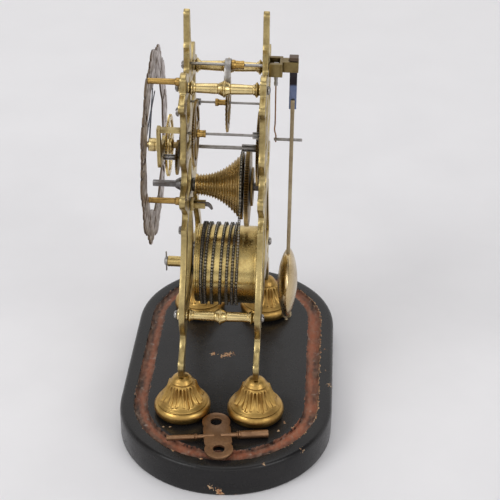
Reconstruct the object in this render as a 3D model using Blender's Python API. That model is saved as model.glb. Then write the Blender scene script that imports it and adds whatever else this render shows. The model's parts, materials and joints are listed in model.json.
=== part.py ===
"""Skeleton clock: two pierced brass plates, a fusee train, a chapter ring, a pendulum and a base.

Everything is modelled in millimetres and written to the meshes in metres.
+Z is up and the dial faces -Y.  A place along the arbors is its "depth": the distance behind
the middle of the front plate.  Outlines in the plates' plane are (x, z) points.
"""
import math

import bmesh
import bpy
from mathutils import Matrix, Vector

MM = 0.001
GAP = 0.3  # clearance kept between pieces that touch

# Driving dimensions, in millimetres
BASE_LENGTH = 322.0
BASE_WIDTH = 191.0
BASE_HEIGHT = 29.0
GROOVE_OUTER_INSET = 13.0
GROOVE_WIDTH = 11.5
GROOVE_DEPTH = 3.0
FRONT_Y = -37.5          # middle of the front plate
PLATE_SPACING = 65.0     # middle of the front plate to the middle of the rear plate
PLATE_THICKNESS = 5.0
WASHER_THICKNESS = 2.6
FOOT_X = 83.0
FOOT_HEIGHT = 39.6
FOOT_RING_RADIUS = 25.1
SPIRE_TOP = 374.0
DIAL_RADIUS = 86.0
DIAL_DEPTH = -29.5
DIAL_THICKNESS = 1.5
PENDULUM_DEPTH = 88.0
BOB_RADIUS = 32.0
BOB_THICKNESS = 18.0

# Depths of the plates' faces
FRONT_OUTSIDE = -PLATE_THICKNESS / 2
FRONT_INSIDE = PLATE_THICKNESS / 2
REAR_INSIDE = PLATE_SPACING - PLATE_THICKNESS / 2
REAR_OUTSIDE = PLATE_SPACING + PLATE_THICKNESS / 2

# Arbor centres, as (x, z)
BARREL = (0.0, 133.0)
FUSEE = (0.0, 212.8)
CENTRE = (0.0, 250.0)
THIRD = (24.0, 274.0)
ESCAPE = (0.0, 292.0)
PALLET = (0.0, 326.5)
MINUTE = (28.0, 253.0)

# Pillars, dial feet and other fixing points, as (x, z)
UPPER_PILLAR = (23.5, 315.0)
LOWER_PILLAR = (65.4, 119.3)
DIAL_FEET = {"upper": (35.3, 325.1), "right": (52.0, 224.5), "left": (-52.0, 224.5)}
CLICK_PIVOT = (3.0, 153.0)
STOP_BLOCK = (21.0, 205.0)

# Tooth counts of the trains
GREAT_TEETH = 96
CENTRE_LEAVES = 8
CENTRE_TEETH = 84
THIRD_LEAVES = 7
THIRD_TEETH = 75
ESCAPE_LEAVES = 7
ESCAPE_TEETH = 30
MOTION_TEETH = 36
MINUTE_LEAVES = 6
HOUR_TEETH = 72
RATCHET_TEETH = 24

# Shapes of the teeth, as shares of the module or of the pitch
WHEEL_ADDENDUM = 1.0
WHEEL_DEDENDUM = 1.6
MOTION_ADDENDUM = 0.8
LEAF_ADDENDUM = 0.6
LEAF_DEDENDUM = 1.3
LEAF_TIP = 0.1
LEAF_ROOT = 0.3

BRASS = ("brass", (0.42, 0.31, 0.13), 0.32, 1.0)
DARK_BRASS = ("dark_brass", (0.26, 0.17, 0.07), 0.4, 1.0)
STEEL = ("steel", (0.36, 0.35, 0.34), 0.35, 1.0)
CHAIN_STEEL = ("chain_steel", (0.05, 0.045, 0.04), 0.45, 1.0)
BLUED = ("blued_steel", (0.05, 0.07, 0.16), 0.28, 1.0)
SILVERED = ("silvered", (0.6, 0.52, 0.5), 0.45, 1.0)
BLACK_WOOD = ("black_wood", (0.025, 0.023, 0.023), 0.35, 0.0)
BRONZE = ("bronze", (0.2, 0.11, 0.06), 0.45, 1.0)


# ---------------------------------------------------------------- building blocks

def clear_scene():
    for item in list(bpy.data.objects):
        bpy.data.objects.remove(item, do_unlink=True)


def material(name, finish):
    """One Principled material for one object."""
    label, colour, roughness, metallic = finish
    made = bpy.data.materials.new(f"{name}_{label}")
    made.use_nodes = True
    shader = made.node_tree.nodes["Principled BSDF"]
    shader.inputs["Base Color"].default_value = (*colour, 1.0)
    shader.inputs["Roughness"].default_value = roughness
    shader.inputs["Metallic"].default_value = metallic
    return made


def finish_object(name, mesh, finish, place=(0.0, 0.0), smooth_angle=30.0):
    """Put a mesh made around an arbor at that arbor, at the front plate's depth."""
    made = bpy.data.objects.new(name, mesh)
    bpy.context.scene.collection.objects.link(made)
    made.location = Vector((place[0], FRONT_Y, place[1])) * MM
    mesh.materials.append(material(name, finish))
    mesh.shade_smooth()
    mesh.set_sharp_from_angle(angle=math.radians(smooth_angle))
    return made


def mesh_from(bm, name):
    bmesh.ops.recalc_face_normals(bm, faces=bm.faces)
    mesh = bpy.data.meshes.new(name)
    bm.to_mesh(mesh)
    bm.free()
    return mesh


def turned_mesh(name, profile, sides, axis="Y", closed=False):
    """Spin a profile of (along, radius) points about the axis; an open one gets flat ends."""
    points = list(profile)
    if not closed:
        points = [(points[0][0], 0.0)] + points + [(points[-1][0], 0.0)]
        points = [p for i, p in enumerate(points) if i == 0 or p != points[i - 1]]
    bm = bmesh.new()
    turn_axis = Vector((0, 1, 0)) if axis == "Y" else Vector((0, 0, 1))
    out = Vector((1, 0, 0))
    ring = [bm.verts.new((out * radius + turn_axis * along) * MM) for along, radius in points]
    edges = [bm.edges.new(pair) for pair in zip(ring, ring[1:])]
    if closed:
        edges.append(bm.edges.new((ring[-1], ring[0])))
    bmesh.ops.spin(bm, geom=ring + edges, cent=(0, 0, 0), axis=turn_axis,
                   angle=2 * math.pi, steps=sides, use_duplicate=False)
    bmesh.ops.remove_doubles(bm, verts=bm.verts, dist=1e-6)
    return mesh_from(bm, name)


def turned(name, profile, finish, place, sides=16, closed=False):
    mesh = turned_mesh(name, profile, sides, closed=closed)
    return finish_object(name, mesh, finish, place)


def flat_mesh(name, loops, start, end):
    """A flat piece: an outline and its holes, as (x, z) points, from one depth to another."""
    bm = bmesh.new()
    edges = []
    for loop in loops:
        verts = [bm.verts.new(Vector((x, start, z)) * MM) for x, z in loop]
        edges += [bm.edges.new((verts[i - 1], verts[i])) for i in range(len(verts))]
    bmesh.ops.triangle_fill(bm, use_beauty=True, use_dissolve=False, edges=edges)
    walls = bmesh.ops.extrude_face_region(bm, geom=list(bm.faces))
    moved = [item for item in walls["geom"] if isinstance(item, bmesh.types.BMVert)]
    bmesh.ops.translate(bm, verts=moved, vec=Vector((0, end - start, 0)) * MM)
    return mesh_from(bm, name)


def flat(name, loops, start, end, finish, place=(0.0, 0.0)):
    mesh = flat_mesh(name, loops, start, end)
    return finish_object(name, mesh, finish, place)


def block_mesh(name, low, high):
    """A box between two (x, depth, z) corners."""
    bm = bmesh.new()
    bmesh.ops.create_cube(bm, size=1.0)
    low, high = Vector(low) * MM, Vector(high) * MM
    size = high - low
    bmesh.ops.transform(bm, matrix=Matrix.Diagonal((*size, 1.0)), verts=bm.verts)
    bmesh.ops.translate(bm, vec=(low + high) / 2, verts=bm.verts)
    return mesh_from(bm, name)


def combine(target, mesh, operation="UNION"):
    """Join a mesh to an object, or cut it away, with a Boolean modifier."""
    tool = bpy.data.objects.new(f"{target.name}_{operation.lower()}_tool", mesh)
    bpy.context.scene.collection.objects.link(tool)
    tool.parent = target
    tool.hide_render = True
    tool.hide_viewport = True
    tool.display_type = "WIRE"
    modifier = target.modifiers.new(operation.title(), "BOOLEAN")
    modifier.operation = operation
    modifier.object = tool
    modifier.solver = "EXACT"
    return target


def polar(radius, angle, centre=(0.0, 0.0)):
    return (centre[0] + radius * math.cos(angle), centre[1] + radius * math.sin(angle))


def circle(radius, centre=(0.0, 0.0), count=16, turn=0.0):
    return [polar(radius, turn + 2 * math.pi * i / count, centre) for i in range(count)]


def arc(centre, radius, start, end, count):
    """Points on an arc, with its angles in degrees."""
    steps = [start + (end - start) * i / (count - 1) for i in range(count)]
    return [polar(radius, math.radians(a), centre) for a in steps]


def catmull_rom(quad, t):
    a, b, c, d = quad
    return 0.5 * (2 * b + (c - a) * t + (2 * a - 5 * b + 4 * c - d) * t ** 2
                  + (3 * b - a - 3 * c + d) * t ** 3)


def smooth_line(points, steps):
    """An open Catmull-Rom curve through the points, ends included."""
    points = [Vector(p) for p in points]
    padded = [2 * points[0] - points[1]] + points + [2 * points[-1] - points[-2]]
    made = []
    for i in range(len(points) - 1):
        made += [catmull_rom(padded[i:i + 4], s / steps) for s in range(steps)]
    return made + [points[-1]]


def mirrored(points):
    return [(-x, z) for x, z in reversed(points)]


def direction(start, end):
    return math.atan2(end[1] - start[1], end[0] - start[0])


def distance(start, end):
    return math.hypot(end[0] - start[0], end[1] - start[1])


# ---------------------------------------------------------------- gears

def gear_module(first, second, teeth_sum):
    """Module of a pair of gears on two centres: twice the distance over all their teeth."""
    return 2 * distance(first, second) / teeth_sum


def wheel_outline(teeth, module, phase, addendum=WHEEL_ADDENDUM):
    """Pointed wheel teeth, with one tooth centred on the phase angle."""
    pitch = 2 * math.pi / teeth
    radius = module * teeth / 2
    points = []
    for i in range(teeth):
        middle = phase + i * pitch
        points.append(polar(radius + addendum * module, middle))
        points.append(polar(radius - WHEEL_DEDENDUM * module, middle + pitch / 2))
    return points


def pinion_outline(leaves, module, phase):
    """Slim pinion leaves, with one gap centred on the phase angle."""
    pitch = 2 * math.pi / leaves
    radius = module * leaves / 2
    points = []
    for i in range(leaves):
        middle = phase + (i + 0.5) * pitch
        points.append(polar(radius - LEAF_DEDENDUM * module, middle - LEAF_ROOT * pitch / 2))
        points.append(polar(radius + LEAF_ADDENDUM * module, middle - LEAF_TIP * pitch / 2))
        points.append(polar(radius + LEAF_ADDENDUM * module, middle + LEAF_TIP * pitch / 2))
        points.append(polar(radius - LEAF_DEDENDUM * module, middle + LEAF_ROOT * pitch / 2))
    return points


def crossings(inner, outer, arms, arm_width, arc_points=4):
    """The openings between a wheel's arms."""
    holes = []
    for i in range(arms):
        middle = 2 * math.pi * (i + 0.5) / arms
        half_outer = math.pi / arms - math.asin(arm_width / 2 / outer)
        half_inner = math.pi / arms - math.asin(arm_width / 2 / inner)
        steps = [2 * k / (arc_points - 1) - 1 for k in range(arc_points)]
        hole = [polar(outer, middle + half_outer * s) for s in steps]
        hole += [polar(inner, middle - half_inner * s) for s in (-1, 1)]
        holes.append(hole)
    return holes


def arbor_with_pinion(name, place, profile, leaves, module, toothed, phase, sides=12):
    """A steel arbor with its pinion cut from the same bar."""
    made = turned(name, profile, STEEL, place, sides=sides)
    outline = pinion_outline(leaves, module, phase)
    return combine(made, flat_mesh(name + "_leaves", [outline], *toothed))


# ---------------------------------------------------------------- base and feet

def stadium(inset, arc_count=13):
    """Outline of the base, moved inwards."""
    radius = BASE_WIDTH / 2 - inset
    half = BASE_LENGTH / 2 - BASE_WIDTH / 2
    return arc((half, 0), radius, -90, 90, arc_count) + arc((-half, 0), radius, 90, 270, arc_count)


def make_base():
    """A stadium board with a rim, a routed groove and a raised middle."""
    groove_outer = GROOVE_OUTER_INSET
    groove_inner = GROOVE_OUTER_INSET + GROOVE_WIDTH
    floor = BASE_HEIGHT - GROOVE_DEPTH
    section = [(2.0, 0.0), (0.0, 2.0), (0.0, BASE_HEIGHT - 3.5), (1.2, BASE_HEIGHT - 1.0),
               (3.5, BASE_HEIGHT), (groove_outer, BASE_HEIGHT), (groove_outer, floor),
               (groove_inner, floor), (groove_inner, BASE_HEIGHT)]
    bm = bmesh.new()
    rings = []
    for inset, height in section:
        rings.append([bm.verts.new(Vector((x, y, height)) * MM) for x, y in stadium(inset)])
    for lower, upper in zip(rings, rings[1:]):
        for i in range(len(lower)):
            bm.faces.new((lower[i - 1], lower[i], upper[i], upper[i - 1]))
    bm.faces.new(list(reversed(rings[0])))
    bm.faces.new(rings[-1])
    made = finish_object("base_board", mesh_from(bm, "base_board"), BLACK_WOOD)
    made.location = (0, 0, 0)


def make_feet():
    """Four bell feet, sharing one turned mesh."""
    ring = FOOT_RING_RADIUS
    profile = [(GAP, 22.6), (3.0, ring), (7.0, ring), (10.0, 22.8), (11.0, 21.6), (16.0, 19.3),
               (24.0, 14.4), (30.0, 10.6), (31.6, 9.4), (34.5, 9.0), (38.0, 5.6), (FOOT_HEIGHT, 2.0)]
    mesh = turned_mesh("foot", profile, 16, axis="Z")
    for depth, end in ((0.0, "front"), (PLATE_SPACING, "rear")):
        for side, hand in ((1, "right"), (-1, "left")):
            copy = mesh.copy()
            made = finish_object(f"foot_{end}_{hand}", copy, BRASS, smooth_angle=40.0)
            made.location = Vector((side * FOOT_X, FRONT_Y + depth, BASE_HEIGHT)) * MM


# ---------------------------------------------------------------- plates

LEG_BOTTOM = BASE_HEIGHT + FOOT_HEIGHT + GAP


def plate_outline():
    """The scrolled outline: lobes and waists up the right side, then its mirror image."""
    right = [(0.0, SPIRE_TOP), (3.4, 371.6), (4.6, 364.0), (5.4, 352.0), (5.8, 346.5),
             (8.2, 343.5), (7.0, 339.5), (8.0, 334.0), (8.5, 327.0), (11.0, 323.4),
             (18.0, 325.0), (26.0, 329.5), (34.0, 331.5), (40.0, 328.5), (40.5, 322.0),
             (41.0, 316.5), (52.5, 312.5), (53.5, 306.0), (44.0, 299.5), (40.5, 290.0),
             (42.0, 276.0), (45.0, 266.0), (49.0, 260.5), (46.0, 253.5), (38.5, 244.0),
             (42.5, 234.5), (56.0, 230.0), (58.5, 221.5), (48.0, 213.0), (39.0, 204.0), (43.0, 198.0),
             (49.5, 194.5), (49.5, 186.5), (54.0, 174.0), (60.0, 161.0), (70.0, 147.0),
             (76.5, 134.0), (78.5, 121.0), (75.5, 109.5), (71.5, 101.0), (77.5, 92.0),
             (90.0, 86.0), (92.5, 79.0), (88.5, LEG_BOTTOM)]
    arch = [(77.5, LEG_BOTTOM), (76.5, 80.0), (69.0, 89.0), (60.5, 98.5), (50.0, 106.5),
            (36.0, 111.5), (20.0, 111.0), (8.0, 113.5), (0.0, 119.0)]
    side = [tuple(p) for p in smooth_line(right, 2)] + [tuple(p) for p in smooth_line(arch, 2)]
    left = mirrored(side)
    return side + left[1:-1]


def plate_openings():
    """The pierced spaces between the spine, the cross arms and the scrolled sides."""
    right = [
        [(7.0, 311.5), (13.0, 310.5), (15.0, 314.5), (12.0, 318.5), (7.0, 317.5)],
        [(6.0, 303.0), (18.0, 306.0), (31.0, 303.5), (33.0, 293.0), (29.0, 285.5), (20.0, 281.5),
         (8.0, 282.5), (7.8, 292.0)],
        [(7.0, 268.5), (16.0, 269.5), (25.0, 266.5), (35.0, 269.5), (37.5, 263.5), (29.0, 259.8),
         (16.0, 257.8), (8.0, 259.5)],
        [(5.5, 240.0), (14.0, 245.0), (26.0, 246.0), (32.0, 240.5), (33.5, 231.5), (42.5, 225.5),
         (39.0, 218.5), (20.0, 217.5), (8.5, 223.0)],
        [(5.5, 201.0), (26.0, 199.0), (36.5, 192.0), (41.0, 180.0), (45.5, 168.5), (53.0, 155.0),
         (62.5, 142.0), (66.5, 131.5), (53.0, 129.5), (38.0, 131.5), (24.0, 137.0), (14.5, 145.5),
         (9.5, 153.0), (6.0, 165.0)],
        [(17.0, 120.5), (32.0, 119.8), (46.0, 117.0), (54.5, 113.5), (56.5, 118.5), (47.0, 123.5),
         (33.0, 124.8), (19.0, 127.0)],
    ]
    openings = right + [mirrored(opening) for opening in right]
    openings.append([(0.0, 362.0), (2.0, 354.0), (2.6, 347.0), (0.0, 341.5),
                     (-2.6, 347.0), (-2.0, 354.0)])
    return openings


def hole(place, radius, count=8):
    return circle(radius, place, count)


def plate_holes(front):
    """Pivot, screw and fixing holes of one plate."""
    holes = [hole((side * x, z), 2.0) for side in (1, -1) for x, z in (UPPER_PILLAR, LOWER_PILLAR)]
    holes += [hole(THIRD, 1.4), hole(ESCAPE, 1.4), hole(BARREL, 3.5)]
    if front:
        holes += [hole(PALLET, 1.4), hole(CENTRE, 2.0), hole(FUSEE, 3.8), hole(MINUTE, 1.4),
                  hole(CLICK_PIVOT, 1.5)]
    else:
        holes += [hole(PALLET, 2.6), hole(CENTRE, 1.6), hole(FUSEE, 2.5)]
    return holes


def make_plates():
    for name, depth, front in (("front_plate", 0.0, True), ("rear_plate", PLATE_SPACING, False)):
        loops = [plate_outline()] + plate_openings() + plate_holes(front)
        flat(name, loops, depth - PLATE_THICKNESS / 2, depth + PLATE_THICKNESS / 2, BRASS)


def pillar_profile(ring, waist, belly, knop):
    """Turned pillar between the plates: pointed end rings, a swelling shaft and a pointed knop."""
    start, stop = FRONT_INSIDE + GAP, REAR_INSIDE - GAP
    middle = (start + stop) / 2
    half = [(start, waist + 0.8), (start + 1.0, waist + 0.8), (start + 3.1, ring),
            (start + 6.0, waist), (middle - 4.6, belly), (middle - 0.4, knop)]
    return half + [(2 * middle - along, radius) for along, radius in reversed(half)]


def screw_profile(plate_face, outward, washer):
    """Round head outside a plate, on a washer at the front, and a shank in its hole."""
    under = [(GAP, 1.6), (GAP, 5.2), (washer, 4.6)] if washer else [(GAP, 1.6)]
    head = under + [(washer + GAP, 3.7), (washer + 1.9, 3.7), (washer + 2.9, 2.4)]
    shank_end = PLATE_THICKNESS - 0.2
    return [(plate_face - outward * shank_end, 1.6)] + [
        (plate_face + outward * along, radius) for along, radius in head]


def make_pillars_and_screws():
    for level, (x, z), sizes in (("upper", UPPER_PILLAR, (6.6, 3.9, 4.5, 7.2)),
                                 ("lower", LOWER_PILLAR, (6.2, 3.9, 4.3, 7.5))):
        for side, hand in ((1, "right"), (-1, "left")):
            place = (side * x, z)
            turned(f"pillar_{level}_{hand}", pillar_profile(*sizes), BRASS, place, sides=10)
            for end, face, outward, washer in (("front", FRONT_OUTSIDE, -1, WASHER_THICKNESS),
                                               ("rear", REAR_OUTSIDE, 1, 0.0)):
                turned(f"screw_{level}_{hand}_{end}", screw_profile(face, outward, washer), STEEL,
                       place, sides=8)


# ---------------------------------------------------------------- dial

def dial_outline(points_per_lobe=6):
    """Twelve rounded lobes, one for each hour."""
    points = []
    count = 12 * points_per_lobe
    for i in range(count):
        angle = 2 * math.pi * i / count
        swell = abs(math.cos(6 * angle)) ** 0.6
        points.append(polar(DIAL_RADIUS - 4.0 * (1 - swell), angle))
    return points


DIAL_FOOT_RADIUS = 2.6
DIAL_FOOT_COLLAR = 3.4


def make_dial():
    """Pierced chapter ring on three feet."""
    windows = []
    near, wide, far = 61.0, 68.5, 74.6
    corners = [(near, -0.08), (wide, -0.13), (far, -0.09), (far, 0.09), (wide, 0.13), (near, 0.08)]
    for i in range(12):
        middle = 2 * math.pi * (i + 0.5) / 12
        windows.append([polar(r, middle + a) for r, a in corners])
    inner = circle(55.5, count=48)
    flat("dial_ring", [dial_outline(), inner] + windows, DIAL_DEPTH - DIAL_THICKNESS / 2,
         DIAL_DEPTH + DIAL_THICKNESS / 2, SILVERED, CENTRE)
    back = DIAL_DEPTH + DIAL_THICKNESS / 2 + GAP
    for name, place in DIAL_FEET.items():
        profile = [(back, DIAL_FOOT_RADIUS), (FRONT_OUTSIDE - 4.0, DIAL_FOOT_RADIUS),
                   (FRONT_OUTSIDE - 3.0, DIAL_FOOT_COLLAR), (FRONT_OUTSIDE - GAP, DIAL_FOOT_COLLAR)]
        turned(f"dial_foot_{name}", profile, BRASS, place, sides=10)


# ---------------------------------------------------------------- motion work and hands

MOTION_MODULE = gear_module(CENTRE, MINUTE, 2 * MOTION_TEETH)
HOUR_MODULE = gear_module(CENTRE, MINUTE, HOUR_TEETH + MINUTE_LEAVES)
TO_MINUTE = direction(CENTRE, MINUTE)
MOTION_PITCH = 2 * math.pi / MOTION_TEETH
MOTION_PLANE = (-7.3, -5.5)
HOUR_PLANE = (-17.6, -15.8)


def hand_outline(length, tail, width, boss):
    """A slim tapering hand along +X with a round boss, and a straight tail if it has one."""
    half_boss = 6
    rim = arc((0, 0), boss, 35, 325, 2 * half_boss)
    blade = [(length * 0.45, -width), (length * 0.55, -width * 1.5), (length * 0.8, -width * 0.5),
             (length, 0.0), (length * 0.8, width * 0.5), (length * 0.55, width * 1.5),
             (length * 0.45, width)]
    tail_end = [(-tail, width), (-tail, -width)] if tail else []
    return rim[:half_boss] + tail_end + rim[half_boss:] + blade


def turned_points(points, angle):
    turn = Matrix.Rotation(angle, 2)
    return [tuple(turn @ Vector(p)) for p in points]


def make_motion_work():
    pipe = [(-38.9, 1.6), (-5.5, 1.6), (-5.5, 2.5), (-38.9, 2.5)]
    cannon = turned("cannon_wheel", pipe, BRASS, CENTRE, sides=12, closed=True)
    outline = wheel_outline(MOTION_TEETH, MOTION_MODULE, TO_MINUTE, MOTION_ADDENDUM)
    rim = flat_mesh("cannon_rim", [outline, circle(2.2, count=12, turn=0.1)], *MOTION_PLANE)
    combine(cannon, rim)

    arbor = [(-19.3, 0.8), (-18.5, 0.8), (-18.5, 1.0), (-3.0, 1.0), (2.1, 1.0)]
    minute = turned("minute_wheel", arbor, BRASS, MINUTE, sides=10)
    phase = TO_MINUTE + math.pi + MOTION_PITCH / 2
    outline = wheel_outline(MOTION_TEETH, MOTION_MODULE, phase, MOTION_ADDENDUM)
    combine(minute, flat_mesh("minute_rim", [outline], *MOTION_PLANE))
    leaves = pinion_outline(MINUTE_LEAVES, HOUR_MODULE, TO_MINUTE + math.pi)
    combine(minute, flat_mesh("minute_leaves", [leaves], -18.5, -8.4))

    pipe = [(-34.9, 3.0), (-15.8, 3.0), (-15.8, 4.4), (-34.9, 4.4)]
    hour = turned("hour_wheel", pipe, BRASS, CENTRE, sides=16, closed=True)
    outline = wheel_outline(HOUR_TEETH, HOUR_MODULE, TO_MINUTE)
    loops = [outline, circle(3.7, count=16, turn=0.1)] + crossings(7.5, 22.0, 4, 3.6)
    combine(hour, flat_mesh("hour_rim", loops, *HOUR_PLANE))

    minute_hand = [turned_points(hand_outline(74.0, 26.0, 1.3, 4.6), math.radians(166)),
                   circle(2.8, count=12)]
    flat("minute_hand", minute_hand, -38.4, -37.4, BLUED, CENTRE)
    boss = [(-34.0, 4.8), (-26.3, 4.8), (-26.3, 5.8), (-34.0, 5.8)]
    hour_hand = turned("hour_hand", boss, BRASS, CENTRE, sides=16, closed=True)
    blade = [turned_points(hand_outline(50.0, 0.0, 1.6, 5.7), math.radians(128)),
             circle(5.2, count=16, turn=0.1)]
    combine(hour_hand, flat_mesh("hour_blade", blade, -34.6, -33.6))


def make_bridge():
    """A plate over the motion work that carries the hour pipe, and its foot on the front plate."""
    arm = (-22.8, -19.8)
    boss = arc((0, 0), 8.5, 60, 300, 11)
    wing = [(20.0, -6.0), (31.0, -5.5), (35.0, -2.0), (36.2, 10.0), (37.0, 27.0), (36.6, 33.0),
            (30.0, 33.0), (29.0, 22.0), (24.5, 13.0), (14.0, 9.0)]
    made = flat("motion_bridge", [boss + wing, circle(5.0, count=16)], *arm, BRASS, CENTRE)
    foot = [(31.0, 29.0), (36.0, 29.0), (36.0, 32.4), (31.0, 32.4)]
    combine(made, flat_mesh("bridge_foot", [foot], arm[0] + 0.5, FRONT_OUTSIDE - GAP))


# ---------------------------------------------------------------- barrel and its set-up work

def make_barrel():
    inside = [(7.9, 33.0), (59.6, 33.0), (59.6, 4.6), (61.2, 4.6), (61.2, 35.0), (7.9, 35.0)]
    turned("barrel_drum", inside, BRASS, BARREL, sides=32, closed=True)
    cover = [(6.0, 4.6), (7.6, 4.6), (7.6, 35.0), (6.0, 35.0)]
    turned("barrel_cover", cover, BRASS, BARREL, sides=32, closed=True)
    core = [(-24.0, 2.6), (-23.0, 4.4), (-20.8, 4.4), (-20.8, 3.0), (8.5, 3.0), (8.5, 7.0),
            (58.5, 7.0), (58.5, 4.0), (62.0, 4.0), (62.0, 3.0), (67.2, 3.0)]
    arbor = turned("barrel_arbor", core, STEEL, BARREL, sides=14)
    pin = turned_mesh("cross_pin", [(-10.0, 0.7), (10.0, 0.7)], 8, axis="Z")
    pin.transform(Matrix.Translation(Vector((0, -22.0, 0)) * MM))
    combine(arbor, pin)
    sleeve = [(-20.4, 3.4), (FRONT_OUTSIDE - GAP, 3.4), (FRONT_OUTSIDE - GAP, 4.9), (-20.4, 4.9)]
    turned("barrel_sleeve", sleeve, BRASS, BARREL, sides=16, closed=True)
    make_mainspring()
    make_setup_work()


def make_mainspring(turns=4, per_turn=12):
    """A flat spiral strip between the arbor's core and the drum's wall."""
    inner, outer, thickness = 8.2, 32.2, 0.8
    count = turns * per_turn + 1
    steps = [i / (count - 1) for i in range(count)]
    spiral = [(inner + (outer - inner - thickness) * s, 2 * math.pi * turns * s) for s in steps]
    outline = [polar(radius + thickness, angle) for radius, angle in spiral]
    outline += [polar(radius, angle) for radius, angle in reversed(spiral)]
    flat("mainspring", [outline], 10.0, 57.5, BLUED, BARREL)


def make_setup_work():
    """Ratchet on the barrel arbor and the click that holds it, inside the front plate.

    The click's arm lies along a tangent of the ratchet, so that lifting it moves its nose
    straight outwards.
    """
    plane = (3.1, 5.4)
    tip, root, nose_radius = 11.0, 9.2, 10.2
    reach = distance(BARREL, CLICK_PIVOT)
    arm = math.sqrt(reach ** 2 - nose_radius ** 2)
    nose_angle = direction(BARREL, CLICK_PIVOT) - math.atan2(arm, nose_radius)

    pitch = 2 * math.pi / RATCHET_TEETH
    first = nose_angle - math.radians(2.0)
    teeth = []
    for i in range(RATCHET_TEETH):
        teeth.append(polar(tip, first + i * pitch))
        teeth.append(polar(root, first + i * pitch))
    flat("setup_ratchet", [teeth, circle(3.35, count=14)], *plane, STEEL, BARREL)

    # Points along the arm and away from the ratchet, seen from the pivot
    shape = [(3.0, -1.0), (9.0, -0.8), (arm - 4.0, 0.6), (arm - 1.2, 1.2), (arm - 0.6, 0.1),
             (arm - 0.16, 0.0), (arm - 0.06, 1.3), (arm, 3.2), (9.0, 2.6), (3.0, 1.5)]
    boss = arc((0, 0), 3.2, 28, 332, 12)
    outline = turned_points(shape + boss, nose_angle - math.pi / 2)
    click = flat("barrel_click", [outline], *plane, STEEL, CLICK_PIVOT)
    head_start = FRONT_OUTSIDE - GAP - 2.4
    pin = [(head_start, 2.4), (head_start + 0.9, 3.4), (FRONT_OUTSIDE - GAP, 3.4),
           (FRONT_OUTSIDE - GAP, 1.0), (4.0, 1.0)]
    combine(click, turned_mesh("click_pin", pin, 12))


# ---------------------------------------------------------------- chain

CHAIN_HALF = 0.8
BARREL_CHAIN_RADIUS = 36.5
FUSEE_CHAIN_RADIUS = 30.4
CHAIN_DEPTHS = [12.3, 15.8, 21.9, 29.4, 35.1, 40.0, 43.6]
CHAIN_RUN_DEPTH = 46.5


def make_chain():
    """Turns round the barrel, and the straight run up to the large end of the fusee."""
    per_turn = 20
    depths = [CHAIN_DEPTHS[0]] + CHAIN_DEPTHS
    count = per_turn * (len(depths) - 1)
    curve = bpy.data.curves.new("chain_turns", "CURVE")
    curve.dimensions = "3D"
    curve.bevel_depth = CHAIN_HALF * MM
    curve.bevel_resolution = 0
    curve.use_fill_caps = True
    spline = curve.splines.new("POLY")
    spline.points.add(count)
    for i in range(count + 1):
        turn, part = divmod(i / per_turn, 1)
        low = depths[min(int(turn), len(depths) - 1)]
        high = depths[min(int(turn) + 1, len(depths) - 1)]
        depth = low + (high - low) * part
        x, z = polar(BARREL_CHAIN_RADIUS, -2 * math.pi * i / per_turn)
        spline.points[i].co = (x * MM, depth * MM, z * MM, 1.0)
    made = bpy.data.objects.new("chain_turns", curve)
    bpy.context.scene.collection.objects.link(made)
    made.location = Vector((BARREL[0], FRONT_Y, BARREL[1])) * MM
    curve.materials.append(material("chain_turns", CHAIN_STEEL))

    lean = math.asin((BARREL_CHAIN_RADIUS - FUSEE_CHAIN_RADIUS) / distance(BARREL, FUSEE))
    bottom = Vector(polar(BARREL_CHAIN_RADIUS, lean, BARREL))
    top = Vector(polar(FUSEE_CHAIN_RADIUS, lean, FUSEE))
    across = Vector((math.cos(lean), math.sin(lean))) * CHAIN_HALF
    outline = [tuple(bottom - across), tuple(bottom + across), tuple(top + across),
               tuple(top - across)]
    flat("chain_run", [outline], CHAIN_RUN_DEPTH - 1.0, CHAIN_RUN_DEPTH + 1.0, CHAIN_STEEL)


# ---------------------------------------------------------------- fusee and going train

GREAT_MODULE = gear_module(FUSEE, CENTRE, GREAT_TEETH + CENTRE_LEAVES)
CENTRE_MODULE = gear_module(CENTRE, THIRD, CENTRE_TEETH + THIRD_LEAVES)
THIRD_MODULE = gear_module(THIRD, ESCAPE, THIRD_TEETH + ESCAPE_LEAVES)


FUSEE_START, FUSEE_STOP = 5.8, 47.7
FUSEE_SMALL, FUSEE_LARGE = 9.6, 29.0
FUSEE_RIM = 3.0       # length of the plain rim at the large end
FUSEE_FLARE = 2.4     # power of the curve by which the cone widens
FUSEE_STEPS = 9


def make_fusee():
    start, stop, large = FUSEE_START, FUSEE_STOP, FUSEE_LARGE
    curve = []
    for i in range(FUSEE_STEPS + 1):
        share = i / FUSEE_STEPS
        curve.append((start + (stop - FUSEE_RIM - start) * share,
                      FUSEE_SMALL + (large - FUSEE_SMALL) * share ** FUSEE_FLARE))
    profile = [(start, 3.4)] + [(stop, 3.4), (stop, large)] + list(reversed(curve))
    turned("fusee_cone", profile, BRASS, FUSEE, sides=24, closed=True)
    arbor = [(-12.0, 3.3), (-12.0, 3.6), (-7.0, 6.0), (-6.6, 3.3), (2.8, 3.3), (2.8, 6.0),
             (5.1, 6.0), (5.1, 3.0), (48.0, 3.0), (48.0, 3.6), (62.1, 3.6), (62.1, 2.0), (67.2, 2.0)]
    made = turned("fusee_arbor", arbor, STEEL, FUSEE, sides=14)
    square = 2.3
    combine(made, block_mesh("winding_square", (-square, -32.0, -square), (square, -11.0, square)))
    outline = wheel_outline(GREAT_TEETH, GREAT_MODULE, direction(FUSEE, CENTRE))
    flat("great_wheel", [outline, circle(4.0, count=14)], 49.6, 53.1, BRASS, FUSEE)
    cap = [(54.2, 4.0), (56.0, 4.0), (56.0, 17.0), (54.2, 17.0)]
    turned("fusee_cap", cap, BRASS, FUSEE, sides=24, closed=True)


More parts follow.
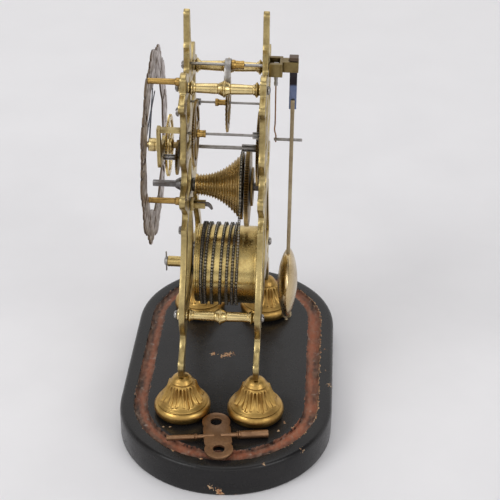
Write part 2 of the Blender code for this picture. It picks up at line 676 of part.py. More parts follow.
def make_centre():
    profile = [(-42.0, 1.2), (2.8, 1.2), (2.8, 1.6), (61.6, 1.6), (61.6, 1.2), (67.2, 1.2)]
    arbor_with_pinion("centre_arbor", CENTRE, profile, CENTRE_LEAVES, GREAT_MODULE, (45.6, 58.5),
                      direction(CENTRE, FUSEE))
    outline = wheel_outline(CENTRE_TEETH, CENTRE_MODULE, direction(CENTRE, THIRD))
    loops = [outline, circle(2.0, count=12)] + crossings(6.0, 26.5, 4, 3.8)
    flat("centre_wheel", loops, 59.0, 60.8, BRASS, CENTRE)


def make_third():
    profile = [(-2.2, 1.0), (2.9, 1.0), (2.9, 1.1), (9.7, 1.1), (9.7, 3.8), (17.0, 3.0), (17.0, 1.1),
               (62.1, 1.1), (62.1, 1.0), (67.2, 1.0)]
    arbor_with_pinion("third_arbor", THIRD, profile, THIRD_LEAVES, CENTRE_MODULE, (56.0, 61.9),
                      direction(THIRD, CENTRE))
    outline = wheel_outline(THIRD_TEETH, THIRD_MODULE, direction(THIRD, ESCAPE))
    loops = [outline, circle(1.5, count=12)] + crossings(5.5, 23.0, 4, 3.4)
    flat("third_wheel", loops, 7.6, 9.4, BRASS, THIRD)


def make_escape():
    profile = [(-2.2, 0.9), (2.9, 0.9), (2.9, 1.0), (23.0, 1.0), (23.0, 3.2), (32.6, 3.2),
               (32.6, 1.0), (62.1, 1.0), (62.1, 0.9), (67.2, 0.9)]
    arbor_with_pinion("escape_arbor", ESCAPE, profile, ESCAPE_LEAVES, THIRD_MODULE, (6.8, 10.9),
                      direction(ESCAPE, THIRD))
    tip, root, rim = 25.0, 21.0, 18.0
    pitch = 2 * math.pi / ESCAPE_TEETH
    teeth = []
    for i in range(ESCAPE_TEETH):
        teeth.append(polar(tip, i * pitch))
        teeth.append(polar(root, (i + 0.3) * pitch))
    loops = [teeth, circle(1.4, count=12)] + crossings(5.0, rim, 4, 2.8)
    flat("escape_wheel", loops, 33.1, 34.7, BRASS, ESCAPE)


def make_pallets():
    """Pallet arbor, recoil anchor and crutch."""
    profile = [(-2.2, 1.0), (2.9, 1.0), (2.9, 1.25), (36.9, 1.25), (36.9, 2.4), (38.6, 4.0),
               (44.0, 4.0), (47.0, 1.25), (71.6, 1.25), (71.6, 3.4), (75.6, 3.4), (76.2, 1.0),
               (78.9, 1.0)]
    turned("pallet_arbor", profile, STEEL, PALLET, sides=12)
    outside = [(0.0, 4.6), (4.6, 3.6), (8.8, 0.0), (11.8, -4.8), (13.1, -8.8), (13.6, -11.2)]
    inside = [(11.9, -10.4), (9.9, -6.8), (6.8, -4.0), (3.4, -2.9), (0.0, -3.2)]
    half = outside + inside
    outline = half + mirrored(half[1:-1])
    flat("anchor", [outline, circle(1.6, count=12)], 31.2, 36.4, STEEL, PALLET)

    wire = 0.9
    top, corner, far = -3.9, -66.5, 97.0
    path = smooth_line([(0, 73.6, top), (0, 73.6, -25.0), (0, 74.0, -50.0), (0, 73.2, corner + 4.0),
                        (0, 75.0, corner), (0, 80.0, corner - 0.3), (0, far, corner - 0.3)], 3)
    curve = bpy.data.curves.new("crutch", "CURVE")
    curve.dimensions = "3D"
    curve.bevel_depth = wire * MM
    curve.bevel_resolution = 2
    curve.use_fill_caps = True
    spline = curve.splines.new("POLY")
    spline.points.add(len(path) - 1)
    for point, place in zip(spline.points, path):
        point.co = (*(place * MM), 1.0)
    made = bpy.data.objects.new("crutch", curve)
    bpy.context.scene.collection.objects.link(made)
    made.location = Vector((PALLET[0], FRONT_Y, PALLET[1])) * MM
    curve.materials.append(material("crutch", STEEL))


# ---------------------------------------------------------------- stop work

def make_stop_work():
    """A block with two prongs, and the hooked lever between them."""
    x, z = STOP_BLOCK
    front = FRONT_INSIDE + GAP
    block = finish_object("stop_work_block",
                          block_mesh("stop_work_block", (-4.5, front, -4.5), (4.5, 6.0, 4.5)),
                          BRASS, STOP_BLOCK)
    for side in (-1, 1):
        low, high = sorted((side * 1.7, side * 4.3))
        combine(block, block_mesh("prong", (low, 5.0, -2.2), (high, 16.0, 2.2)))
    lever = [(8.5, 1.6), (8.5, -1.6), (17.0, -1.4), (21.0, -4.8), (22.4, -4.0), (19.5, 1.0),
             (17.5, 2.0)]
    bm = bmesh.new()
    half = 1.2
    near = [bm.verts.new(Vector((half, depth, up)) * MM) for depth, up in lever]
    far = [bm.verts.new(Vector((-half, depth, up)) * MM) for depth, up in lever]
    bm.faces.new(near)
    bm.faces.new(list(reversed(far)))
    for i in range(len(lever)):
        bm.faces.new((near[i], near[i - 1], far[i - 1], far[i]))
    pivot = 12.5
    bmesh.ops.translate(bm, verts=bm.verts, vec=(0, -pivot * MM, 0))
    made = finish_object("stop_lever", mesh_from(bm, "stop_lever"), STEEL, STOP_BLOCK)
    made.location = Vector((x, FRONT_Y + pivot, z)) * MM


# ---------------------------------------------------------------- back cock and pendulum

COCK_HALF_WIDTH = 9.2
ARM_TOP = 332.3
ARM_BOTTOM = 323.2
SLOT_HALF = 0.9


def make_back_cock():
    """A U bracket over the crutch, with an arm that holds the suspension."""
    base = REAR_OUTSIDE + GAP
    low, high = 320.4 - PALLET[1], 331.8 - PALLET[1]
    made = finish_object("back_cock", block_mesh("back_cock", (-COCK_HALF_WIDTH, 76.6, low),
                                                 (COCK_HALF_WIDTH, 79.0, high)), BRASS, PALLET)
    for side in (-1, 1):
        ends = sorted((side * COCK_HALF_WIDTH, side * (COCK_HALF_WIDTH - 3.8)))
        combine(made, block_mesh("cock_leg", (ends[0], base, low), (ends[1], 77.5, high)))
    arm_low, arm_high = ARM_BOTTOM - PALLET[1], ARM_TOP - PALLET[1]
    combine(made, block_mesh("cock_arm", (-5.0, 78.5, arm_low), (5.0, 92.0, arm_high)))
    slot = block_mesh("cock_slot", (-SLOT_HALF, 83.5, arm_low - 1), (SLOT_HALF, 93.0, arm_high + 1))
    combine(made, slot, "DIFFERENCE")
    combine(made, turned_mesh("cock_hole", [(75.0, 1.5), (80.5, 1.5)], 12), "DIFFERENCE")
    block = block_mesh("suspension_block", (-4.0, 84.2, arm_high + GAP), (4.0, 91.8, 335.8 - PALLET[1]))
    finish_object("suspension_block", block, DARK_BRASS, PALLET)


def make_pendulum():
    axis = PALLET[1]
    spring_top, spring_bottom = 331.7, 288.2
    spring = block_mesh("pendulum_spring", (-0.2, 84.9, spring_bottom - axis), (0.2, 91.1, spring_top - axis))
    finish_object("pendulum_spring", spring, BLUED, PALLET)

    bob_centre = 115.8 - axis
    rod_top, rod_bottom = 287.8 - axis, bob_centre - BOB_RADIUS - 9.0
    y = PENDULUM_DEPTH
    rod = finish_object("pendulum_rod",
                        block_mesh("pendulum_rod", (-3.0, y - 1.6, 148.5 - axis), (3.0, y + 1.6, rod_top)),
                        BRASS, PALLET)
    tail = turned_mesh("rod_tail", [(rod_bottom, 1.3), (150.0 - axis, 1.3)], 8, axis="Z")
    tail.transform(Matrix.Translation(Vector((0, y, 0)) * MM))
    combine(rod, tail)
    crutch_hole = turned_mesh("crutch_hole", [(y - 3.0, 1.7), (y + 3.0, 1.7)], 12)
    crutch_hole.transform(Matrix.Translation(Vector((0, 0, -66.8)) * MM))
    combine(rod, crutch_hole, "DIFFERENCE")

    half = BOB_THICKNESS / 2
    rise = [(0.0, 0.0), (0.1, 0.35), (0.3, 0.64), (0.6, 0.88), (0.85, 0.985)]
    front = [(y - half * (1 - deep), BOB_RADIUS * wide) for deep, wide in rise]
    profile = front + [(2 * y - along, radius) for along, radius in reversed(front)]
    bob_mesh = turned_mesh("pendulum_bob", profile, 24)
    bob_mesh.transform(Matrix.Translation(Vector((0, 0, bob_centre)) * MM))
    bob = finish_object("pendulum_bob", bob_mesh, BRASS, PALLET)
    bore = turned_mesh("bob_bore", [(bob_centre - 34.0, 1.7), (bob_centre + 34.0, 1.7)], 8, axis="Z")
    bore.transform(Matrix.Translation(Vector((0, y, 0)) * MM))
    combine(bob, bore, "DIFFERENCE")
    nut_top = bob_centre - BOB_RADIUS - GAP
    nut = turned_mesh("rating_nut", [(nut_top - 4.5, 1.7), (nut_top, 1.7), (nut_top, 4.5),
                                     (nut_top - 4.5, 4.5)], 14, axis="Z", closed=True)
    nut.transform(Matrix.Translation(Vector((0, y, 0)) * MM))
    finish_object("rating_nut", nut, BRASS, PALLET)


# ---------------------------------------------------------------- key

KEY_CENTRE = (121.6, -3.1)
KEY_TURN = 8.3  # degrees from the Y axis
KEY_COLLAR = 3.7


def make_key():
    """A double-ended key: a flat figure-of-eight bow between a thin and a thick tube."""
    bow_radius, bow_offset = 12.3, 18.4
    waist_half, waist_side = 10.5, 12.0
    top = arc((bow_offset, 0), bow_radius, -118, 118, 15)
    bottom = arc((-bow_offset, 0), bow_radius, 62, 298, 15)
    side = [(waist_half, waist_side), (-waist_half, waist_side)]
    other = [(-waist_half, -waist_side), (waist_half, -waist_side)]
    outline = top + side + bottom + other
    eyes = [circle(5.1, (sign * bow_offset, 0), 14) for sign in (1, -1)]
    bow = flat_mesh("winding_key", [outline] + eyes, -1.25, 1.25)
    bow.transform(Matrix.Rotation(math.radians(90), 4, "X"))
    made = bpy.data.objects.new("winding_key", bow)
    bpy.context.scene.collection.objects.link(made)
    bow.materials.append(material("winding_key", BRONZE))
    thin = [(-44.0, 2.3), (-20.0, 2.3), (-19.2, 2.9), (-17.6, 2.9), (-17.0, 1.9), (-2.0, 1.9)]
    thick = [(2.0, 2.2), (17.0, 2.2), (17.4, KEY_COLLAR), (19.6, KEY_COLLAR), (20.0, 3.5), (44.0, 3.5)]
    for name, profile in (("thin_tube", thin), ("thick_tube", thick)):
        combine(made, turned_mesh(name, profile, 12))
    combine(made, turned_mesh("thick_bore", [(32.0, 2.0), (46.0, 2.0)], 4), "DIFFERENCE")
    made.location = Vector((*KEY_CENTRE, BASE_HEIGHT + GAP + KEY_COLLAR)) * MM
    made.rotation_euler = (0, 0, math.radians(KEY_TURN))


def main():
    clear_scene()
    make_base()
    make_feet()
    make_plates()
    make_pillars_and_screws()
    make_dial()
    make_motion_work()
    make_bridge()
    make_barrel()
    make_chain()
    make_fusee()
    make_centre()
    make_third()
    make_escape()
    make_pallets()
    make_stop_work()
    make_back_cock()
    make_pendulum()
    make_key()


main()
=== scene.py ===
"""Looks of the skeleton clock: fine geometry, materials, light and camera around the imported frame."""
import json
import math

import bmesh
import bpy
from mathutils import Matrix, Vector, noise as perlin


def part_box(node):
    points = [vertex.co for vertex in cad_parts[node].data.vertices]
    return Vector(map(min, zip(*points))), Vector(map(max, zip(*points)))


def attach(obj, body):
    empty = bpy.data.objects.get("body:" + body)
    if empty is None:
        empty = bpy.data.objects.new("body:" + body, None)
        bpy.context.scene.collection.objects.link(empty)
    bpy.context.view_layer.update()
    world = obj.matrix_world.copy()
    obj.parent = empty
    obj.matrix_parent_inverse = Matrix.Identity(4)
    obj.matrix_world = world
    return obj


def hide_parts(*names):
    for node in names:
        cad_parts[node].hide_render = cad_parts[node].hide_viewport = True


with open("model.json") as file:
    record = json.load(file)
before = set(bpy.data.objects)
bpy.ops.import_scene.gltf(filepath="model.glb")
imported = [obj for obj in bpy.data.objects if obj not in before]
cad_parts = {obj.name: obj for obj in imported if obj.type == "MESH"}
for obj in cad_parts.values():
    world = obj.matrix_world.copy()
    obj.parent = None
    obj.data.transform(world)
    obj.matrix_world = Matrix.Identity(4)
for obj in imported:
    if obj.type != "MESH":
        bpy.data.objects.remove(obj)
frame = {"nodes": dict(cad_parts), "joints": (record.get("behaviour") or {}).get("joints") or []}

# Lengths are in millimetres, and points are (x, depth, z): depth is measured backwards from the
# middle of the front plate, as in the clock's own design.
MM = 0.001
TAU = 2 * math.pi
SHARP_ANGLE = 32.0    # degrees from which an edge is shaded as a corner
WELD_WITHIN, FLAT_WITHIN = 2e-6, 2e-5   # metres
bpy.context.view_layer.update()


# ---------------------------------------------------------------- places in the frame

FRONT_Y = sum(corner.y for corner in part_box("front_plate")) / 2 / MM
JOINT_AT = {joint["child"]: joint["pos_m"] for joint in frame["joints"] if "pos_m" in joint}


def node_box(name):
    """Lowest and highest corner of a CAD node, as (x, depth, z)."""
    return [Vector((c.x / MM, c.y / MM - FRONT_Y, c.z / MM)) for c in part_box(name)]


def middle(name):
    """Centre of a CAD node in the plates' plane, as (x, z)."""
    low, high = node_box(name)
    return ((low.x + high.x) / 2, (low.z + high.z) / 2)


def depths(name):
    low, high = node_box(name)
    return low.y, high.y


def arbor(body):
    """Centre of a turning body, as (x, z)."""
    x, _, z = JOINT_AT[body]
    return (x / MM, z / MM)


BARREL, FUSEE, CENTRE, MINUTE, PALLET = (arbor(body) for body in
                                         ("barrel", "fusee", "centre", "minute", "pallets"))
BASE_LOW, BASE_HIGH = node_box("base_board")
BASE_TOP = BASE_HIGH.z
FRONT_OUTSIDE = depths("front_plate")[0]


# ---------------------------------------------------------------- shader building blocks

def rgb(*values):
    return (*values, 1.0)


class Nodes:
    """A node tree. The methods add shader nodes and return their output sockets."""

    def __init__(self, tree):
        self.tree = tree

    def feed(self, socket, value):
        """Link the socket to another one, or set it to a plain value."""
        if isinstance(value, bpy.types.NodeSocket):
            self.tree.links.new(value, socket)
        else:
            socket.default_value = value

    def node(self, kind, inputs=None, **settings):
        made = self.tree.nodes.new("ShaderNode" + kind)
        for key, value in settings.items():
            setattr(made, key, value)
        for key, value in (inputs or {}).items():
            self.feed(made.inputs[key], value)
        return made

    def span(self, value, low, high, out_low=0.0, out_high=1.0):
        """The value's course from low to high, spread over another range and held at its ends."""
        made = self.node("MapRange", {"Value": value, "From Min": low, "From Max": high,
                                      "To Min": out_low, "To Max": out_high})
        return made.outputs["Result"]

    def maths(self, operation, first, second=0.0):
        return self.node("Math", {0: first, 1: second}, operation=operation).outputs[0]

    def add(self, first, second):
        return self.maths("ADD", first, second)

    def times(self, first, second):
        return self.maths("MULTIPLY", first, second)

    def mix(self, share, first, second):
        return self.node("MixRGB", {"Fac": share, "Color1": first, "Color2": second}).outputs["Color"]


class Look(Nodes):
    """A material, which keeps the name of one of the frame's material slots."""

    def __init__(self, name, slot=None, **plain):
        self.material = bpy.data.materials.new(name)
        self.material.use_nodes = True
        super().__init__(self.material.node_tree)
        self.shader = self.tree.nodes["Principled BSDF"]
        self.place = self.node("TexCoord").outputs["Object"]
        self.slot = slot
        for key, value in plain.items():
            self.set(key.replace("_", " "), value)

    def set(self, key, value):
        self.feed(self.shader.inputs[key], value)

    def noise(self, scale, detail=4.0, stretch=(1.0, 1.0, 1.0)):
        moved = self.node("Mapping", {"Vector": self.place, "Scale": stretch})
        made = self.node("TexNoise", {"Vector": moved.outputs[0], "Scale": scale, "Detail": detail})
        return made.outputs["Fac"]

    def axis(self, letter):
        """One coordinate of the place, in metres."""
        return self.node("SeparateXYZ", {0: self.place}).outputs[letter]

    def bump(self, height, strength, distance):
        made = self.node("Bump", {"Height": height, "Strength": strength, "Distance": distance})
        self.set("Normal", made.outputs["Normal"])

    def edge_highlight(self, radius=0.0004):
        """One near an edge, inner or outer, else nought: the colour brightened there is a painted
        highlight.
        """
        soft = self.node("Bevel", {"Radius": radius}, samples=4).outputs["Normal"]
        true = self.node("NewGeometry").outputs["Normal"]
        agree = self.node("VectorMath", {0: soft, 1: true}, operation="DOT_PRODUCT")
        return self.span(agree.outputs["Value"], 0.99, 0.8)


# ---------------------------------------------------------------- materials

def metal(name, slot, colour, stain, rough, painted_shade=0.8, lathe=0.0, specks=0.0,
          grain=(1.0, 1.0, 1.0)):
    """Old metal: tarnish in patches, painted shade in corners and recesses, a painted highlight along
    the edges, fine scratches and lathe lines.
    """
    look = Look(name, slot, Metallic=1.0)
    patches = look.add(look.times(look.noise(55.0, 3.0), 0.6), look.times(look.noise(420.0, 5.0), 0.4))
    tarnish = look.span(patches, 0.42, 0.66)
    tint = look.mix(tarnish, rgb(*colour), rgb(*stain))
    # Painted highlight: a brighter tone of the metal along every edge.
    bright = tuple(min(1.0, c * 1.35) for c in colour)
    tint = look.mix(look.times(look.edge_highlight(), 0.7), tint, rgb(*bright))
    # Painted shade: the colour is darkened towards a deep tone of the stain wherever ambient occlusion
    # finds a corner or recess.
    open_sky = look.node("AmbientOcclusion", {"Distance": 0.004}, samples=4).outputs["AO"]
    corner = look.times(look.span(open_sky, 0.75, 0.2), painted_shade)
    tint = look.mix(corner, tint, rgb(*(c * 0.22 for c in stain)))
    if specks:
        spots = look.span(look.noise(900.0, 2.0), 0.70, 0.74)
        tint = look.mix(look.times(spots, specks), tint, rgb(0.06, 0.04, 0.02))
    look.set("Base Color", tint)
    fine = look.noise(1400.0, 3.0, grain)
    uneven = look.add(look.times(fine, 0.16), look.times(tarnish, 0.16))
    look.set("Roughness", look.add(uneven, rough - 0.1))
    height = fine
    if lathe:
        rings = look.noise(2200.0, 2.0, (0.0, 1.0, 0.0))
        height = look.add(fine, look.times(rings, lathe))
    look.bump(height, 0.25, 0.00012)
    return look


def silvered():
    """Worn silvering on the flat faces, and brown bare metal on the cut edges."""
    look = Look("silvered", "silvered", Metallic=0.85)
    normal = look.node("NewGeometry").outputs["Normal"]
    facing = look.node("SeparateXYZ", {0: normal}).outputs["Y"]
    wobble = look.times(look.noise(700.0), 0.35)
    face = look.span(look.add(look.maths("ABSOLUTE", facing), wobble), 0.85, 1.12)
    cloud = look.span(look.noise(150.0, 6.0), 0.42, 0.6)
    pale = look.mix(cloud, rgb(0.50, 0.435, 0.41), rgb(0.24, 0.195, 0.17))
    brown = look.mix(cloud, rgb(0.08, 0.055, 0.04), rgb(0.15, 0.11, 0.075))
    look.set("Base Color", look.mix(face, brown, pale))
    look.set("Roughness", look.span(cloud, 0.0, 1.0, 0.34, 0.55))
    look.bump(look.noise(1200.0, 3.0, (1.0, 1.0, 0.15)), 0.3, 0.0001)
    return look


def worn_groove(look, edge, streaks):
    """Colours of the bare wood in the groove, darker at the front left."""
    worn = look.span(look.noise(34.0, 5.0), 0.38, 0.62)
    bare = look.mix(worn, rgb(0.045, 0.028, 0.022), rgb(0.25, 0.085, 0.045))
    across = look.span(look.axis("Y"), 0.0, -0.07, 0.0, 0.55)
    patchy = look.span(look.noise(60.0), 0.4, 0.7, -0.25, 0.35)
    shade = look.span(look.add(across, patchy), 0.0, 1.0)
    bare = look.mix(shade, bare, rgb(0.04, 0.028, 0.023))
    core = look.times(look.span(edge, GROOVE_START + 4.0, GROOVE_START + 6.5),
                      look.span(edge, GROOVE_END - 3.0, GROOVE_END - 1.0, 1.0, 0.2))
    bare = look.mix(look.times(core, 0.5), bare, rgb(0.36, 0.115, 0.055))
    bare = look.mix(look.times(streaks, 0.4), bare, rgb(0.30, 0.18, 0.12))
    dusty = look.span(look.noise(160.0, 8.0), 0.6, 0.7)
    return look.mix(look.times(dusty, 0.5), bare, rgb(0.36, 0.31, 0.27))


def black_polish(look):
    """Colours of the ebonised surface, with faint dust and scratches."""
    haze = look.span(look.noise(22.0, 6.0), 0.35, 0.7)
    black = look.mix(haze, rgb(0.007, 0.0067, 0.0072), rgb(0.014, 0.013, 0.013))
    dust = look.span(look.noise(620.0, 3.0), 0.80, 0.83)
    black = look.mix(look.times(dust, 0.3), black, rgb(0.2, 0.18, 0.16))
    scratch = look.span(look.noise(240.0, 2.0, (1.0, 0.06, 1.0)), 0.79, 0.81)
    return look.mix(look.times(scratch, 0.16), black, rgb(0.16, 0.15, 0.14))


def chipped(look, edge):
    """One where the black is knocked off: along the groove's edges and round the listed places."""
    border = look.times(look.span(edge, GROOVE_START - 2.4, GROOVE_START - 0.6),
                        look.span(edge, GROOVE_START - 0.2, GROOVE_START + 0.6, 1.0, 0.0))
    worn_side = look.span(look.axis("Y"), 0.03, 0.075, 0.2, 0.37)
    lip = look.times(look.span(edge, GROOVE_END - 0.5, GROOVE_END),
                     look.span(edge, GROOVE_END + 0.1, GROOVE_END + 0.7, 1.0, 0.0))
    near = look.add(look.times(border, worn_side), look.times(lip, 0.2))
    for spot, size in CHIPS:
        far = look.node("VectorMath", {0: look.place, 1: spot}, operation="DISTANCE").outputs["Value"]
        near = look.add(near, look.span(far, 0.0, 1.9 * size, 0.46, 0.0))
    return look.span(look.add(look.noise(560.0, 5.0), near), 0.82, 0.85)


def black_wood():
    """Ebonised wood with a bare, worn groove. The groove is found by the inset attribute."""
    look = Look("black_wood", "black_wood", Specular_IOR_Level=0.28)
    inset = look.node("Attribute", attribute_name="inset").outputs["Fac"]
    jitter = look.times(look.maths("SUBTRACT", look.noise(260.0, 6.0), 0.5), 5.0)
    edge = look.add(inset, jitter)
    groove = look.times(look.span(edge, GROOVE_START - 0.5, GROOVE_START + 0.2),
                        look.span(edge, GROOVE_END - 0.1, GROOVE_END + 0.5, 1.0, 0.0))
    streaks = look.span(look.noise(300.0, 8.0, (0.5, 1.0, 1.0)), 0.4, 0.66)
    chips = chipped(look, edge)
    raw = look.mix(look.span(look.noise(420.0), 0.4, 0.62), rgb(0.38, 0.17, 0.075),
                   rgb(0.5, 0.36, 0.22))
    outside = look.mix(chips, black_polish(look), raw)
    look.set("Base Color", look.mix(groove, outside, worn_groove(look, edge, streaks)))
    polish = look.span(look.noise(90.0, 6.0), 0.3, 0.75, 0.2, 0.36)
    matt = look.maths("MAXIMUM", groove, chips)
    look.set("Roughness", look.add(polish, look.times(matt, 0.4)))
    grain = look.times(look.noise(900.0, 4.0, (0.12, 1.0, 1.0)), 0.25)
    height = look.maths("SUBTRACT", grain, look.times(chips, 1.2))
    look.bump(look.add(height, look.times(look.times(groove, streaks), 1.5)), 0.5, 0.0004)
    return look


def blued(name, dark, pale, change=None):
    """Heat-blued steel, cloudy between two blues. Above the change of height it is near black."""
    look = Look(name, "blued_steel", Metallic=1.0)
    cloud = look.span(look.noise(90.0, 5.0), 0.36, 0.66)
    tint = look.mix(cloud, rgb(*dark), rgb(*pale))
    if change:
        uneven = look.add(look.axis("Z"), look.times(cloud, 0.0008))
        black = look.mix(cloud, rgb(0.026, 0.022, 0.024), rgb(0.04, 0.035, 0.038))
        tint = look.mix(look.span(uneven, change - 0.0006, change + 0.0012), tint, black)
    # Painted highlight: paler steel along the edges.
    look.set("Base Color", look.mix(look.times(look.edge_highlight(0.0002), 0.4), tint,
                                    rgb(0.2, 0.21, 0.25)))
    look.set("Roughness", look.span(cloud, 0.0, 1.0, 0.22, 0.36))
    look.bump(look.noise(1500.0, 2.0, (1.0, 1.0, 0.1)), 0.2, 0.0001)
    return look


def numeral_black():
    """Black wax in the numerals."""
    look = Look("numeral_black")
    cloud = look.noise(300.0, 5.0)
    look.set("Base Color", look.mix(cloud, rgb(0.012, 0.011, 0.01), rgb(0.05, 0.045, 0.04)))
    look.set("Roughness", look.span(cloud, 0.3, 0.7, 0.35, 0.6))
    look.bump(look.noise(1500.0, 3.0), 0.3, 0.0001)
    return look


# ---------------------------------------------------------------- plane outlines

def polar(radius, angle, centre=(0.0, 0.0)):
    return (centre[0] + radius * math.cos(angle), centre[1] + radius * math.sin(angle))


def circle(radius, centre=(0.0, 0.0), count=48):
    return [polar(radius, TAU * i / count, centre) for i in range(count)]


def mirrored(points):
    return [(-x, z) for x, z in reversed(points)]


def area(loop):
    return sum(a[0] * b[1] - b[0] * a[1] for a, b in zip(loop, loop[1:] + loop[:1])) / 2


def oriented(loops):
    """Outline anticlockwise and holes clockwise, so that the metal is always on the left."""
    loops = sorted(loops, key=lambda loop: -abs(area(loop)))
    made = []
    for i, loop in enumerate(loops):
        wrong = (area(loop) < 0) if i == 0 else (area(loop) > 0)
        made.append(list(reversed(loop)) if wrong else list(loop))
    return made


def moved_in(loop, inset):
    """The loop moved into the metal on its left, with mitred corners."""
    made = []
    for i, point in enumerate(loop):
        before, here, after = Vector(loop[i - 1]), Vector(point), Vector(loop[(i + 1) % len(loop)])
        first, second = (here - before).normalized(), (after - here).normalized()
        along = first + second
        if along.length < 0.2:
            along = second
        along.normalize()
        left = Vector((-along.y, along.x))
        reach = min(1.8, 1.0 / max(0.3, abs(Vector((-first.y, first.x)).dot(left))))
        made.append(tuple(here + left * inset * reach))
    return made


def curve_point(a, b, c, d, t):
    """Point between b and c on a Catmull-Rom curve through four points."""
    return 0.5 * (2 * b + (c - a) * t + (2 * a - 5 * b + 4 * c - d) * t ** 2
                  + (3 * b - a - 3 * c + d) * t ** 3)


def smooth_loop(loop, spacing=1.2, corner=55.0):
    """A closed curve through the points, with its sharp corners kept."""
    points = [Vector(p) for p in loop]
    count = len(points)
    sharp = []
    for i in range(count):
        first, second = points[i] - points[i - 1], points[(i + 1) % count] - points[i]
        sharp.append(abs(first.angle_signed(second, 0.0)) > math.radians(corner))
    made = []
    for i in range(count):
        j = (i + 1) % count
        b, c = points[i], points[j]
        a = 2 * b - c if sharp[i] else points[i - 1]
        d = 2 * c - b if sharp[j] else points[(j + 1) % count]
        length = (c - b).length
        a = b + (a - b).normalized() * min((a - b).length, 2 * length)
        d = c + (d - c).normalized() * min((d - c).length, 2 * length)
        steps = 1 if sharp[i] and sharp[j] else max(1, min(8, round(length / spacing)))
        made += [tuple(curve_point(a, b, c, d, s / steps)) for s in range(steps)]
    return made


def smooth_open(points, steps):
    """An open curve through the points, ends included."""
    padded = [2 * points[0] - points[1]] + points + [2 * points[-1] - points[-2]]
    made = [curve_point(*four, s / steps)
            for four in zip(padded, padded[1:], padded[2:], padded[3:]) for s in range(steps)]
    return made + [points[-1]]


def cad_loops(name, depth=None):
    """Outline and holes of the flat face of a CAD node at a depth, its front face by default."""
    depth = depths(name)[0] if depth is None else depth
    y = (depth + FRONT_Y) * MM
    bm = bmesh.new()
    bm.from_mesh(frame["nodes"][name].data)
    bmesh.ops.remove_doubles(bm, verts=bm.verts, dist=WELD_WITHIN)
    flat = {f for f in bm.faces if all(abs(v.co.y - y) < FLAT_WITHIN for v in f.verts)}
    rim = {}
    for edge in bm.edges:
        if sum(f in flat for f in edge.link_faces) == 1:
            for vert in edge.verts:
                rim.setdefault(vert, []).append(edge)
    loops, used = [], set()
    for start in rim:
        if start in used:
            continue
        loop, vert, last = [], start, None
        while vert not in used:
            used.add(vert)
            loop.append((vert.co.x / MM, vert.co.z / MM))
            ways = [e for e in rim[vert] if e is not last and e.other_vert(vert) not in used]
            if not ways:
                break
            last = ways[0]
            vert = last.other_vert(vert)
        if len(loop) > 2:
            loops.append(loop)
    bm.free()
    return loops


def rounded(profile, radius=0.3, closed=False):
    """A turned profile with each corner cut by a small round."""
    points = [Vector(p) for p in profile]
    made = []
    for i, here in enumerate(points):
        ends = i == 0 or i == len(points) - 1
        if ends and not closed:
            made.append(tuple(here))
            continue
        back, ahead = points[i - 1] - here, points[(i + 1) % len(points)] - here
        if back.length < 1e-6 or ahead.length < 1e-6 or back.angle(ahead) > math.radians(165):
            made.append(tuple(here))
            continue
        start = here + back.normalized() * min(radius, 0.4 * back.length)
        stop = here + ahead.normalized() * min(radius, 0.4 * ahead.length)
        made += [tuple(start), tuple((start + stop) / 4 + here / 2), tuple(stop)]
    return made


# ---------------------------------------------------------------- shells

